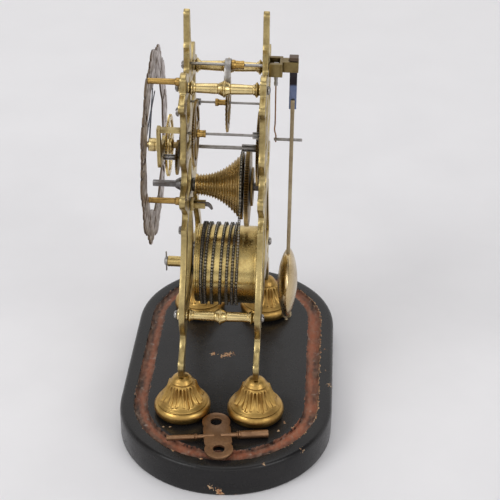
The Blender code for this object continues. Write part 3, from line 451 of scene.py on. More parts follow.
class Shape:
    """Closed shells gathered into one piece."""

    def __init__(self):
        self.bm = bmesh.new()

    def ring(self, points):
        return [self.bm.verts.new(p) for p in points]

    def band(self, lower, upper):
        for i in range(len(lower)):
            self.bm.faces.new((lower[i - 1], lower[i], upper[i], upper[i - 1]))

    def skin(self, rings):
        """Bands between the rings, and flat ends."""
        for lower, upper in zip(rings, rings[1:]):
            self.band(lower, upper)
        self.bm.faces.new(rings[0])
        self.bm.faces.new(rings[-1])
        return self

    def turned(self, profile, place=(0.0, 0.0), sides=32, axis="Y", closed=False, relief=None):
        """A profile of (along, radius) points spun about an axis through the place."""
        rings = []
        for along, radius in profile:
            points = []
            for k in range(sides):
                angle = TAU * k / sides
                reach = radius + (relief(along, angle) if relief else 0.0)
                a, b = polar(reach, angle, place)
                points.append((a, along, b) if axis == "Y" else (a, b, along))
            rings.append(self.ring(points))
        if not closed:
            return self.skin(rings)
        for i, upper in enumerate(rings):
            self.band(rings[i - 1], upper)
        return self

    def plate(self, loops, start, end, bevel=0.25):
        """A flat piece with rounded edges."""
        loops = oriented(loops)
        levels = [(start, bevel), (start + 0.3 * bevel, 0.3 * bevel), (start + bevel, 0.0),
                  (end - bevel, 0.0), (end - 0.3 * bevel, 0.3 * bevel), (end, bevel)]
        rows = [[self.ring([(x, depth, z) for x, z in moved_in(loop, inset)]) for loop in loops]
                for depth, inset in levels]
        for lower, upper in zip(rows, rows[1:]):
            for first, second in zip(lower, upper):
                self.band(first, second)
        for cap in (rows[0], rows[-1]):
            edges = [self.bm.edges.get((ring[i - 1], ring[i])) for ring in cap
                     for i in range(len(ring))]
            bmesh.ops.triangle_fill(self.bm, use_beauty=True, edges=edges)
        return self

    def block(self, low, high, bevel=0.3):
        """A box with rounded vertical edges and chamfered faces."""
        x0, y0, z0 = low
        x1, y1, z1 = high
        loop = []
        for i, (x, z) in enumerate([(x0, z0), (x1, z0), (x1, z1), (x0, z1)]):
            inward = (bevel if x == x0 else -bevel, bevel if z == z0 else -bevel)
            pair = [(x + inward[0], z), (x, z + inward[1])]
            loop += pair if i % 2 else pair[::-1]
        return self.plate([loop], y0, y1, bevel)

    def side_blocks(self, middle_x, near, far, depth, height, bevel):
        """A pair of blocks to either side of a middle, between two distances from it."""
        for side in (-1, 1):
            ends = sorted((middle_x + side * near, middle_x + side * far))
            self.block((ends[0], depth[0], height[0]), (ends[1], depth[1], height[1]), bevel)
        return self

    def tube(self, path, radius, sides):
        """A round wire along a path, with its ends closed."""
        rings = []
        for i, point in enumerate(path):
            along = (path[min(i + 1, len(path) - 1)] - path[max(i - 1, 0)]).normalized()
            side = along.cross(Vector((1, 0, 0)))
            if side.length < 0.1:
                side = along.cross(Vector((0, 0, 1)))
            side.normalize()
            other = along.cross(side)
            rings.append(self.ring([point + (side * math.cos(a) + other * math.sin(a)) * radius
                                    for a in (TAU * k / sides for k in range(sides))]))
        return self.skin(rings)

    def slab(self, outline, place, along, out, low, high):
        """An outline given along and outwards, made thick across the two."""
        across = along.cross(out).normalized()
        return self.skin([self.ring([place + along * x + out * z + across * side for x, z in outline])
                          for side in (low, high)])

    def turn(self, matrix):
        self.bm.transform(matrix)
        return self

    def mesh(self, name):
        """The shells as a mesh, in metres and in the frame."""
        bmesh.ops.recalc_face_normals(self.bm, faces=self.bm.faces)
        bmesh.ops.translate(self.bm, verts=self.bm.verts, vec=(0, FRONT_Y, 0))
        bmesh.ops.scale(self.bm, verts=self.bm.verts, vec=(MM, MM, MM))
        mesh = bpy.data.meshes.new(name)
        self.bm.to_mesh(mesh)
        self.bm.free()
        return mesh

    def done(self, name, body, look, nodes=(), angle=SHARP_ANGLE, slot=None):
        """Make the piece, riding on its body and standing in for the CAD nodes."""
        mesh = self.mesh(name)
        mesh.shade_smooth()
        mesh.set_sharp_from_angle(angle=math.radians(angle))
        mesh.materials.append(look.material)
        made = linked(name, mesh)
        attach(made, body)
        if nodes:
            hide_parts(*nodes)
        slot = slot or look.slot
        return made


def linked(name, data):
    made = bpy.data.objects.new(name, data)
    bpy.context.scene.collection.objects.link(made)
    return made


def carve(target, shape):
    """Cut a shape's shells out of a finished piece."""
    tool = linked("tool", shape.mesh("tool"))
    modifier = target.modifiers.new("Carve", "BOOLEAN")
    modifier.operation = "DIFFERENCE"
    modifier.solver = "EXACT"
    modifier.object = tool
    bpy.context.view_layer.update()
    graph = bpy.context.evaluated_depsgraph_get()
    carved = bpy.data.meshes.new_from_object(target.evaluated_get(graph))
    target.modifiers.remove(modifier)
    target.data = carved
    carved.set_sharp_from_angle(angle=math.radians(SHARP_ANGLE))
    bpy.data.objects.remove(tool, do_unlink=True)


def wheel(shape, name, depth, thick, bevel=0.12, spacing=1.5, corner=35.0):
    """The flat part of a CAD node between two depths, with smooth curves and crisp corners."""
    loops = [smooth_loop(loop, spacing, corner) for loop in cad_loops(name, depth)]
    return shape.plate(loops, depth, depth + thick, bevel)


def cut_piece(node_name, ending, body, look, *style):
    """A flat CAD node, redrawn whole with wheel's style of edge, spacing and corner."""
    start, end = depths(node_name)
    shape = wheel(Shape(), node_name, start, end - start, *style)
    shape.done(f"{node_name}_{ending}", body, look, [node_name])


def turned_piece(name, body, look, profile, place, sides, nodes=(), soft=0.15,
                 angle=SHARP_ANGLE, closed=False, **spin):
    """A piece that is one turned profile with softened corners."""
    shape = Shape().turned(rounded(profile, soft, closed), place, sides, closed=closed, **spin)
    return shape.done(name, body, look, nodes, angle)


# ---------------------------------------------------------------- base and feet

GROOVE_START, GROOVE_END, GROOVE_DEPTH = 13.0, 24.5, 3.0
# Middles and radii, in metres, of the places where the black has been knocked off the base.
CHIPS = [((-0.0015, -0.0085, 0.029), 0.0040), ((-0.005, -0.001, 0.029), 0.0042),
         ((-0.004, -0.0175, 0.029), 0.0032), ((0.131, 0.073, 0.0285), 0.0048),
         ((0.138, 0.0755, 0.028), 0.0050), ((0.146, 0.0765, 0.027), 0.0040),
         ((0.1505, 0.0385, 0.0285), 0.0018), ((0.108, -0.052, 0.029), 0.0016),
         ((0.1075, -0.0455, 0.029), 0.0014), ((0.094, 0.0535, 0.029), 0.0018),
         ((0.106, 0.0495, 0.029), 0.0015), ((0.0995, 0.061, 0.029), 0.0016),
         ((-0.0185, 0.088, 0.0285), 0.0018), ((0.014, 0.0895, 0.028), 0.0016),
         ((0.0355, 0.092, 0.028), 0.0030), ((0.160, -0.0064, 0.0092), 0.0030),
         ((0.160, 0.001, 0.0064), 0.0034), ((0.159, 0.0036, 0.0017), 0.0032),
         ((0.158, 0.0161, 0.001), 0.0020), ((0.139, -0.0395, 0.029), 0.0016),
         ((0.147, -0.015, 0.029), 0.0016)]
BASE_RADIUS = (BASE_HIGH.y - BASE_LOW.y) / 2
BASE_STRAIGHT = (BASE_HIGH.x - BASE_LOW.x) / 2 - BASE_RADIUS
SHAKE_SIZE, ROW_SHIFT = 9.0, 7.0   # size of the nibbles, and their change from row to row


def stadium(inset, arc_count=49, straight_count=24):
    """Outline of the base moved inwards, as (x, y) points in the world."""
    radius = BASE_RADIUS - inset
    right = [polar(radius, math.pi * (i / (arc_count - 1) - 0.5), (BASE_STRAIGHT, 0))
             for i in range(arc_count)]
    far = [(BASE_STRAIGHT - 2 * BASE_STRAIGHT * i / straight_count, radius)
           for i in range(1, straight_count)]
    side = right + far
    return side + [(-x, -y) for x, y in side]


def base_section():
    """The board's section from its underside to its middle, as (inset, height, roughness)."""
    floor = BASE_TOP - GROOVE_DEPTH
    side = [(2.0, 0.0, 0), (0.6, 0.5, 0), (0.0, 2.0, 0), (0.0, 12.0, 0), (0.0, BASE_TOP - 5.0, 0)]
    rim = [(0.35, BASE_TOP - 2.8, 0), (1.1, BASE_TOP - 1.2, 0), (2.3, BASE_TOP - 0.35, 0),
           (4.0, BASE_TOP, 0), (8.0, BASE_TOP, 0), (11.2, BASE_TOP, 0.15)]
    into = [(GROOVE_START - 0.7, BASE_TOP, 0.5), (GROOVE_START - 0.1, BASE_TOP - 0.5, 0.9),
            (GROOVE_START + 0.4, BASE_TOP - 1.8, 0.7), (GROOVE_START + 1.6, floor, 0.5)]
    groove = [(inset, floor, 0.3) for inset in (16.5, 18.7, 21.0, 23.2)]
    out = [(GROOVE_END - 0.3, floor, 0.1), (GROOVE_END - 0.1, BASE_TOP - 0.9, 0.15),
           (GROOVE_END + 0.1, BASE_TOP - 0.1, 0.3), (GROOVE_END + 0.7, BASE_TOP, 0.2),
           (GROOVE_END + 4.0, BASE_TOP, 0), (GROOVE_END + 16.0, BASE_TOP, 0)]
    return side + rim + into + groove + out


def make_base(look):
    """The board, with a soft rim, a worn groove with nibbled edges, and a flat middle."""
    shape = Shape()
    rings, insets = [], []
    for row, (inset, height, rough) in enumerate(base_section()):
        points = []
        for x, y in stadium(inset):
            at = Vector((x, y, ROW_SHIFT * row)) / SHAKE_SIZE
            shake = perlin.noise(at) * rough + perlin.noise(at * 3.7) * rough * 0.5
            outwards = Vector((x - max(-1, min(1, x / BASE_STRAIGHT)) * BASE_STRAIGHT, y)).normalized()
            lift = -abs(shake) * 0.5 if height > BASE_TOP - GROOVE_DEPTH else shake * 0.5
            points.append((x + outwards.x * shake, y + outwards.y * shake - FRONT_Y,
                           min(BASE_TOP, height + lift)))
        rings.append(shape.ring(points))
        insets += [inset] * len(points)
    board = shape.skin(rings).done("base_board_worn", "frame", look, ["base_board"], 50.0)
    marks = board.data.attributes.new("inset", "FLOAT", "POINT")
    marks.data.foreach_set("value", insets)


LEAVES = 8
BELL_LOW, BELL_HIGH = 12.7, 32.0   # heights of the leafy bell above the foot's underside
BELL_STEPS = 44


def leaf_relief(foot_low):
    """Relief of the acanthus leaves on a foot's bell."""

    def relief(along, angle):
        share = (along - foot_low - BELL_LOW) / (BELL_HIGH - BELL_LOW)
        if not 0.0 < share < 1.0:
            return 0.0
        u = (angle * LEAVES / TAU) % 1.0 - 0.5
        spread = u * (1.0 + 0.25 * (1.0 - share))
        ridges = 0.8 * math.cos(3 * TAU * spread) * (1.0 - 0.35 * abs(2 * u))
        vein = 0.55 * math.exp(-(u / 0.06) ** 2)
        border = -0.9 * math.exp(-((abs(u) - 0.5) / 0.05) ** 2)
        leaf_foot = 0.07 + 0.16 * (2 * u) ** 2
        inside = min(1.0, max(0.0, (share - leaf_foot) / 0.05))
        crown = min(1.0, max(0.0, (1.0 - share - 0.02 - 0.06 * (2 * u) ** 2) / 0.06))
        return (ridges + vein + border) * inside * crown - 0.7 * (1.0 - inside) * min(1.0, share * 14)

    return relief


def foot_profile(height, ring):
    """A bold ring, a lip, a bell and a smooth dome, as heights and radii."""
    torus = [(6.0 + 5.9 * math.sin(a), ring - 4.6 + 4.6 * math.cos(a))
             for a in (math.radians(d) for d in range(-84, 67, 10))]
    lip = [(11.4, 22.6), (11.4, 22.1), (11.8, 22.1), (12.1, 22.4), (12.4, 22.1), (12.5, 21.5)]
    bell = []
    for i in range(BELL_STEPS + 1):
        share = i / BELL_STEPS
        radius = 12.3 + 9.0 * (1.0 - share) ** 2.3 - 1.8 * share ** 8
        bell.append((BELL_LOW + (BELL_HIGH - BELL_LOW) * share, radius))
    dome = [(32.4, 9.6), (32.9, 9.9), (33.5, 9.8), (33.9, 9.2), (35.2, 8.7), (36.6, 7.6), (37.8, 6.0),
            (38.6, 4.2), (39.1, 2.6), (height, 2.0)]
    return torus + lip + bell + dome


def make_feet(look):
    for end in ("front", "rear"):
        for hand in ("right", "left"):
            name = f"foot_{end}_{hand}"
            low, high = node_box(name)
            place = ((low.x + high.x) / 2, (low.y + high.y) / 2)
            profile = [(max(0.0, along) + low.z, radius)
                       for along, radius in foot_profile(high.z - low.z, (high.x - low.x) / 2)]
            shape = Shape().turned(profile, place, 160, axis="Z", relief=leaf_relief(low.z))
            shape.done(name + "_cast", "frame", look, [name], 60.0)


# ---------------------------------------------------------------- plates, pillars and screws

def make_plates(look):
    for name in ("front_plate", "rear_plate"):
        cut_piece(name, "pierced", "frame", look, 0.55, 1.5, 78.0)


def make_pillars(look):
    """Turned pillars: pointed rings near the plates, a swelling shaft and a pointed knop."""
    for level in ("upper", "lower"):
        for hand in ("right", "left"):
            name = f"pillar_{level}_{hand}"
            start, end = depths(name)
            centre = (start + end) / 2
            low, high = node_box(name)
            knop = (high.x - low.x) / 2
            ring = knop - (0.6 if level == "upper" else 1.3)
            half = [(start, 4.7), (start + 0.9, 4.7), (start + 1.2, 4.2), (start + 2.6, ring - 0.5),
                    (start + 3.1, ring), (start + 3.7, ring - 0.5), (start + 5.0, 4.4),
                    (start + 5.4, 4.5), (start + 5.9, 4.5), (start + 6.2, 3.7), (start + 6.6, 3.9),
                    (centre - 5.6, 4.5), (centre - 5.1, 3.9), (centre - 4.7, 4.8),
                    (centre - 3.9, 4.9), (centre - 1.1, knop - 0.9), (centre - 0.3, knop)]
            other_half = [(2 * centre - along, radius) for along, radius in reversed(half)]
            turned_piece(name + "_turned", "frame", look, half + other_half, middle(name), 48, [name],
                         0.2, 40.0)


HEAD_RADIUS, EAR_HEAD_RADIUS, WASHER_RADIUS = 3.7, 3.9, 5.3
EAR_SCREW, NUT = (46.8, 304.0), (43.0, 191.0)


def slotted_screw(name, look, place, face, tip, turn, radius=HEAD_RADIUS, nodes=()):
    """A domed head and its shank, with a screwdriver slot across the head."""
    out = 1 if tip > face else -1
    rise = [(0.0, 0.22), (0.12, 0.5), (0.5, 0.76), (1.1, 0.92), (1.9, 1.0), (2.3, 1.0), (2.6, 0.95),
            (2.6, 0.43)]
    profile = [(face + deep * out, radius * wide) for deep, wide in rise] + [(tip, radius * 0.43)]
    made = turned_piece(name, "frame", look, profile, place, 40, nodes, 0.12)
    ends = sorted((face - 1.0 * out, face + 1.1 * out))
    slot = Shape().block((-0.5, ends[0], -radius - 1.0), (0.5, ends[1], radius + 1.0), 0.02)
    slot.turn(Matrix.Translation((place[0], 0, place[1]))
              @ Matrix.Rotation(math.radians(turn), 4, "Y"))
    carve(made, slot)


def make_screws(steel, brass):
    """Screws; those outside the front plate stand on washers. An ear screw and a nut beside them."""
    turns = iter((35.0, 12.0, 60.0, -8.0, -20.0, 40.0, 5.0, -50.0))
    washer = [(FRONT_OUTSIDE - 0.3, 1.7), (FRONT_OUTSIDE - 0.3, WASHER_RADIUS),
              (FRONT_OUTSIDE - 0.9, WASHER_RADIUS), (FRONT_OUTSIDE - 1.9, 4.9),
              (FRONT_OUTSIDE - 2.5, 4.0), (FRONT_OUTSIDE - 2.6, 1.7)]
    for level in ("upper", "lower"):
        for hand in ("right", "left"):
            for end in ("front", "rear"):
                name = f"screw_{level}_{hand}_{end}"
                low, high = depths(name)
                face, tip = (low, high) if end == "front" else (high, low)
                slotted_screw(name + "_slotted", steel, middle(name), face, tip, next(turns),
                              nodes=[name])
                if end == "front":
                    turned_piece(f"washer_{level}_{hand}", "frame", brass, washer, middle(name), 40,
                                 soft=0.2, closed=True)
    face, tip = FRONT_OUTSIDE - 2.7, FRONT_OUTSIDE + 0.2
    slotted_screw("ear_screw_right", steel, EAR_SCREW, face, tip, 70.0, EAR_HEAD_RADIUS)

    def teeth(along, angle):
        return 0.45 * math.cos(10 * angle) if along < FRONT_OUTSIDE - 0.3 else 0.0

    nut = [(face, 1.0), (face + 0.3, 2.6), (face + 1.0, 3.1), (face + 2.3, 3.3), (tip, 1.2)]
    turned_piece("serrated_nut", "frame", steel, nut, NUT, 80, soft=0.2, relief=teeth)


# ---------------------------------------------------------------- dial

NUMERALS = ("XII", "I", "II", "III", "IV", "V", "VI", "VII", "VIII", "IX", "X", "XI")
NUMERAL_LOW, NUMERAL_HIGH = 62.0, 76.0   # radii of the numerals' feet and heads
TRACK_LOW, TRACK_HIGH = 77.6, 80.2       # radii of the minute track
THICK, THIN, SERIF = 0.16, 0.07, 0.05    # strokes of a numeral that is one unit high


def bar(low_x, high_x, width):
    """A stroke of a letter, from its foot line to its head line."""
    half = width / 2
    return [(low_x - half, 0), (low_x + half, 0), (high_x + half, 1), (high_x - half, 1)]


def serif(centre, at, wide):
    return [(centre - wide, at), (centre + wide, at), (centre + wide, at + SERIF),
            (centre - wide, at + SERIF)]


def glyph_strokes(letter, x):
    """Strokes of one Roman letter from x on, as quadrilaterals, and the room that it takes."""
    if letter == "I":
        stem = x + 0.14
        return [bar(stem, stem, THICK), serif(stem, 0, 0.14), serif(stem, 1 - SERIF, 0.14)], 0.34
    left, right = x + 0.1, x + 0.5
    heads = [serif(left, 1 - SERIF, 0.12), serif(right, 1 - SERIF, 0.1)]
    if letter == "V":
        return [bar(x + 0.3, left, THICK), bar(x + 0.32, right, THIN)] + heads, 0.66
    feet = [serif(right, 0, 0.12), serif(left, 0, 0.1)]
    return [bar(right, left, THICK), bar(left, right, THIN)] + heads + feet, 0.66


def numeral_quads(text):
    quads, x = [], 0.0
    for letter in text:
        strokes, advance = glyph_strokes(letter, x)
        quads += strokes
        x += advance
    return quads, x - 0.06


def arch(offset, half_width):
    """Height of a round arch, from one at its middle to nought at its ends."""
    return math.sqrt(max(0.0, 1.0 - (offset / half_width) ** 2))


def dial_outline():
    """Outline of the chapter ring, a cartouche with three scallops at each hour, and its bore."""
    low, high = node_box("dial_ring")
    outer, inner = [], []
    for i in range(720):
        degrees = i / 2
        aside = abs((degrees + 15.0) % 30.0 - 15.0)
        if aside < 6.5:
            drop = 3.2 * (1.0 - arch(aside, 6.5))
        elif aside < 12.2:
            drop = 2.8 + 2.6 * (1.0 - arch(aside - 9.35, 2.85))
        else:
            drop = 6.6 - 1.4 * arch(15.0 - aside, 2.8)
        turn = math.radians(degrees)
        outer.append(polar((high.x - low.x) / 2 - drop, turn, CENTRE))
        inner.append(polar(59.3 - 3.6 * abs(math.cos(6 * turn)), turn, CENTRE))
    return [outer, inner]


def dial_piercings():
    """Between two hours, a waisted lens, a round hole above it and a slit on either side."""
    lens = [(0.0, -8.0), (1.2, -5.5), (2.9, -2.2), (1.5, 0.0), (2.9, 2.4), (1.1, 5.6), (0.0, 8.3)]
    lens += mirrored(lens[1:-1])
    slit = [(-0.45, -3.4), (0.5, -2.4), (0.75, 0.0), (0.1, 3.0), (-0.5, 1.0)]
    holes = [(68.0, 0.0, lens), (78.4, 0.0, circle(1.15, count=14)), (74.4, 5.3, slit),
             (74.4, -5.3, mirrored(slit))]
    loops = []
    for i in range(12):
        for radius, aside, outline in holes:
            turn = TAU * (i + 0.5) / 12 + math.radians(aside)
            spin = Matrix.Rotation(turn - math.pi / 2, 2)
            place = Vector(polar(radius, turn, CENTRE))
            points = [tuple(place + spin @ Vector(point)) for point in outline]
            loops.append(smooth_loop(points, 0.6, 62.0))
    return loops


def make_numerals(look, face):
    """Numerals and a minute track, standing a little proud of the dial's face."""
    shape = Shape()
    tall = NUMERAL_HIGH - NUMERAL_LOW
    for hour, text in enumerate(NUMERALS):
        quads, width = numeral_quads(text)
        squeeze = min(1.0, 0.95 / width) * tall * 0.8
        turn = math.pi / 2 - hour * TAU / 12
        for quad in quads:
            points = []
            for x, y in quad:
                foot = polar(NUMERAL_LOW + y * tall, turn, CENTRE)
                points.append(polar((x - width / 2) * squeeze, turn - math.pi / 2, foot))
            shape.plate([points], face - 0.12, face + 0.3, 0.03)
    for minute in range(60):
        turn = TAU * minute / 60
        wide = 0.012 if minute % 5 == 0 else 0.005
        corners = ((TRACK_LOW, -wide), (TRACK_HIGH, -wide), (TRACK_HIGH, wide), (TRACK_LOW, wide))
        quad = [polar(radius, turn + aside, CENTRE) for radius, aside in corners]
        shape.plate([quad], face - 0.1, face + 0.3, 0.03)
    shape.done("dial_numerals", "frame", look)


def make_dial(silver, black, brass):
    """Chapter ring with softened lobes, its black marks, and its feet."""
    start, end = depths("dial_ring")
    ring = Shape().plate(dial_outline() + dial_piercings(), start, end, 0.2)
    ring.done("dial_ring_pierced", "frame", silver, ["dial_ring"])
    make_numerals(black, start)
    for name in ("dial_foot_upper", "dial_foot_right", "dial_foot_left"):
        low, high = depths(name)
        profile = [(low, 2.6), (low + 1.2, 2.6), (low + 1.5, 2.3), (low + 2.4, 2.45), (high - 4.6, 2.6),
                   (high - 3.9, 2.6), (high - 3.4, 3.1), (high - 2.6, 3.4), (high, 3.4)]
        turned_piece(name + "_turned", "frame", brass, profile, middle(name), 28, [name], 0.2)


# ---------------------------------------------------------------- motion work

MOTION_DEPTH, HOUR_DEPTH, MOTION_THICK = -7.3, -17.6, 1.8
PINION_DEPTH, PINION_LONG = -18.5, 10.1
HAND_EDGE = (0.22, 1.5, 50.0)


def pipe(start, end, bore, radius, soft=0.15):
    """Profile of a plain tube."""
    return rounded([(start, bore), (end, bore), (end, radius), (start, radius)], soft, closed=True)


def collet(start, end, bore, wide):
    """Profile of a turned brass collet with a waist."""
    third = (end - start) / 3
    return [(start, bore), (start, wide), (start + third * 0.7, wide), (start + third, wide - 0.7),
            (end - third, wide - 0.9), (end - 0.6, wide - 0.6), (end, wide - 0.8), (end, bore)]


def make_motion_work(brass, steel, dark):
    shape = Shape().turned(pipe(*depths("cannon_wheel"), 1.6, 2.5), CENTRE, 32, closed=True)
    wheel(shape, "cannon_wheel", MOTION_DEPTH, MOTION_THICK)
    shape.done("cannon_wheel_cut", "centre", dark, ["cannon_wheel"])

    stem = [(-19.3, 0.8), (PINION_DEPTH, 0.8), (PINION_DEPTH, 1.0), (2.1, 1.0)]
    shape = Shape().turned(rounded(stem, 0.1), MINUTE, 24)
    wheel(shape, "minute_wheel", MOTION_DEPTH, MOTION_THICK)
    shape.done("minute_wheel_cut", "minute", dark, ["minute_wheel"])
    pinion = wheel(Shape(), "minute_wheel", PINION_DEPTH, PINION_LONG, 0.15)
    pinion.done("minute_pinion_cut", "minute", steel)

    shape = Shape().turned(pipe(*depths("hour_wheel"), 3.0, 4.4), CENTRE, 40, closed=True)
    wheel(shape, "hour_wheel", HOUR_DEPTH, MOTION_THICK)
    hub = [(-15.75, 4.5), (-15.75, 6.6), (-14.4, 6.6), (-13.2, 5.0), (-13.2, 4.5)]
    shape.turned(rounded(hub, 0.2, True), CENTRE, 40, closed=True)
    shape.done("hour_wheel_cut", "hour", brass, ["hour_wheel"])


def make_hands(blue, brass):
    cut_piece("minute_hand", "blued", "centre", blue, *HAND_EDGE)
    collar = [(-40.6, 1.3), (-40.6, 3.2), (-40.2, 3.6), (-39.3, 3.6), (-39.0, 1.3)]
    turned_piece("hand_collet", "centre", brass, collar, CENTRE, 32, closed=True)
    boss = [(-34.0, 4.8), (-26.3, 4.8), (-26.3, 5.8), (-27.2, 5.8), (-27.5, 5.5), (-28.6, 5.5),
            (-28.9, 5.8), (-34.0, 5.8)]
    turned_piece("hour_hand_boss", "hour", brass, boss, CENTRE, 48, ["hour_hand"], closed=True)
    blade = wheel(Shape(), "hour_hand", depths("hour_hand")[0], 1.0, *HAND_EDGE)
    blade.done("hour_hand_blade", "hour", blue)


def make_bridge(look):
    """The bridge in two layers, with the outlines of its front face and of its rear face."""
    start, end = depths("motion_bridge")
    shape = wheel(Shape(), "motion_bridge", start, 3.0, 0.3, 1.5, 55.0)
    loops = [smooth_loop(loop, 1.0, 55.0) for loop in cad_loops("motion_bridge", end)]
    shape.plate(loops, start + 2.8, end, 0.25)
    shape.done("motion_bridge_cut", "frame", look, ["motion_bridge"])


# ---------------------------------------------------------------- barrel and chain

BARREL_RADIUS = 35.0
CORE_PIN_DEPTH = -22.0  # of the cross pin through the arbor's front end


def make_barrel(brass):
    """The drum with a turned line near each edge, and its cover, sunk in the middle."""
    start, end = depths("barrel_drum")
    radius = BARREL_RADIUS
    drum = [(start, 33.0), (end - 1.6, 33.0), (end - 1.6, 4.6), (end, 4.6), (end, 20.0),
            (end - 0.3, 20.6), (end - 0.3, radius - 2.2), (end, radius - 1.6), (end, radius),
            (end - 1.5, radius), (end - 1.7, radius - 0.25), (end - 1.9, radius),
            (start + 1.9, radius), (start + 1.7, radius - 0.25), (start + 1.5, radius),
            (start, radius)]
    turned_piece("barrel_drum_polished", "barrel", brass, drum, BARREL, 144, ["barrel_drum"], 0.12,
                 closed=True)
    start, end = depths("barrel_cover")
    cover = [(start, 4.6), (end, 4.6), (end, radius), (start, radius), (start, 30.0),
             (start + 0.3, 29.4), (start + 0.3, 12.0), (start, 11.4)]
    turned_piece("barrel_cover_turned", "barrel", brass, cover, BARREL, 144, ["barrel_cover"], 0.1,
                 closed=True)


def make_barrel_core(brass, steel, blue):
    """The barrel's arbor with its rounded nose and cross pin, its sleeve, spring and ratchet."""
    core = [(-24.0, 0.8), (-23.8, 2.0), (-23.3, 3.2), (-22.5, 4.0), (-21.6, 4.4), (-20.8, 4.4),
            (-20.8, 3.0), (8.5, 3.0), (8.5, 7.0), (58.5, 7.0), (58.5, 4.0), (62.0, 4.0), (62.0, 3.0),
            (67.2, 3.0)]
    shape = Shape().turned(rounded(core, 0.2), BARREL, 40)
    low, high = node_box("barrel_arbor")
    pin = [(low.z, 0.5), (low.z + 0.4, 0.7), (high.z - 0.4, 0.7), (high.z, 0.5)]
    shape.turned(pin, (BARREL[0], CORE_PIN_DEPTH), 16, axis="Z")
    shape.done("barrel_arbor_turned", "barrel_core", steel, ["barrel_arbor"])
    start, end = depths("barrel_sleeve")
    sleeve = [(start, 3.4), (end, 3.4), (end, 5.1), (end - 1.2, 5.1), (end - 1.4, 4.8),
              (start + 0.6, 4.8), (start + 0.3, 4.9), (start, 4.7)]
    turned_piece("barrel_sleeve_turned", "frame", brass, sleeve, BARREL, 48, ["barrel_sleeve"], 0.12,
                 closed=True)
    start, end = depths("mainspring")
    spiral = smooth_loop(cad_loops("mainspring")[0], 2.0, 50.0)
    Shape().plate([spiral], start, end, 0.1).done("mainspring_coiled", "barrel", blue, ["mainspring"])
    cut_piece("setup_ratchet", "cut", "barrel_core", steel)


# Chain plates, as (length between the rivets, reach of the ends beyond them, ends' half height,
# waist's half height).
PAIR_PLATE = (1.1, 0.55, 1.05, 0.7)
SINGLE_PLATE = (1.45, 0.3, 0.6, 0.5)
LINK_PITCH = 1.45
LINK_HALF, PAIR_THICK, SINGLE_HALF = 1.15, 0.6, 0.42   # breadths, across the chain
RIVET_RADIUS, RIVET_STAND = 0.32, 0.15
# Depths of the chain where its turns on the barrel begin, and of its end.
CHAIN_DEPTHS = [12.3, 12.3, 15.8, 21.9, 29.4, 35.1, 40.0, 43.6]
CHAIN_RADIUS = 36.6
FUSEE_END_RADIUS = 30.2


def link_outline(length, end_length, end_height, waist):
    """One chain plate seen from the side: two round ends and a narrow middle."""
    right = [(length / 2 + end_length * math.cos(a), end_height * math.sin(a))
             for a in (math.radians(d) for d in (-80, -40, 0, 40, 80))]
    return right + [(0.0, waist)] + [(-x, -z) for x, z in right] + [(0.0, -waist)]


def add_links(path, body, name, looks, nodes=()):
    """Riveted links along a path of rivets: wide dark pairs of plates, and single plates between."""
    outer, inner = Shape(), Shape()
    pair = (outer, link_outline(*PAIR_PLATE),
            [(-LINK_HALF, PAIR_THICK - LINK_HALF), (LINK_HALF - PAIR_THICK, LINK_HALF)])
    single = (inner, link_outline(*SINGLE_PLATE), [(-SINGLE_HALF, SINGLE_HALF)])
    rivet = circle(RIVET_RADIUS, count=8)
    rivet_half = LINK_HALF + RIVET_STAND
    for i, ((a, out_a), (b, out_b)) in enumerate(zip(path, path[1:])):
        along, out = (b - a).normalized(), (out_a + out_b).normalized()
        shape, outline, slices = pair if i % 2 else single
        for low, high in slices:
            shape.slab(outline, (a + b) / 2, along, out, low, high)
        inner.slab(rivet, a, along, out, -rivet_half, rivet_half)
    outer.done(name, body, looks[0], nodes)
    # The single plates and rivets take the pale second look: their own polish, and a painted highlight
    # for the chain's glints.
    inner.done(name + "_rivets", body, looks[1])


def helix(centre, radius_at, depth_at, start, end):
    """Rivets along a turning path, as places and outward directions."""
    path = []
    steps = round(abs(end - start) * radius_at(0.0) / LINK_PITCH)
    for i in range(steps + 1):
        share = i / steps
        angle = start + (end - start) * share
        x, z = polar(radius_at(share), angle, centre)
        path.append((Vector((x, depth_at(share), z)), Vector((math.cos(angle), 0, math.sin(angle)))))
    return path


def make_chain(looks):
    """The chain's turns on the barrel, its run up to the fusee, and its end on the fusee."""
    turns = len(CHAIN_DEPTHS) - 1

    def depth_at(share):
        turn = min((1.0 - share) * turns, turns - 1e-6)
        low, high = CHAIN_DEPTHS[int(turn)], CHAIN_DEPTHS[int(turn) + 1]
        return low + (high - low) * (turn % 1.0)

    coils = helix(BARREL, lambda share: CHAIN_RADIUS, depth_at, 0.0, -TAU * turns)
    add_links(coils, "barrel", "chain_on_barrel", looks, ["chain_turns"])

    low, high = node_box("chain_run")
    depth = (low.y + high.y) / 2
    bottom = Vector((CHAIN_RADIUS, depth - 2.6, low.z))
    top = Vector((FUSEE_END_RADIUS, depth, high.z))
    count = round((top - bottom).length / LINK_PITCH)
    out = Vector((1, 0, 0.08)).normalized()
    run = [(bottom.lerp(top, i / count), out) for i in range(count + 1)]
    add_links(run, "frame", "chain_straight_run", looks, ["chain_run"])

    lean = math.atan2(high.z - FUSEE[1], FUSEE_END_RADIUS)
    hooked = helix(FUSEE, lambda share: FUSEE_END_RADIUS - 0.6 * share,
                   lambda share: depth - 2.0 * share, lean, lean + 4.6)
    add_links(hooked, "fusee", "chain_on_fusee", looks)


# ---------------------------------------------------------------- fusee

FUSEE_SMALL, FUSEE_LARGE, FUSEE_RIM, FUSEE_FLARE = 9.6, 29.0, 3.0, 2.4
FUSEE_GROOVES, RINGS_PER_GROOVE, FUSEE_GROOVE_DEPTH = 16, 12, 1.5
SQUARE_HALF, SQUARE_CORNER = 2.3, 0.5


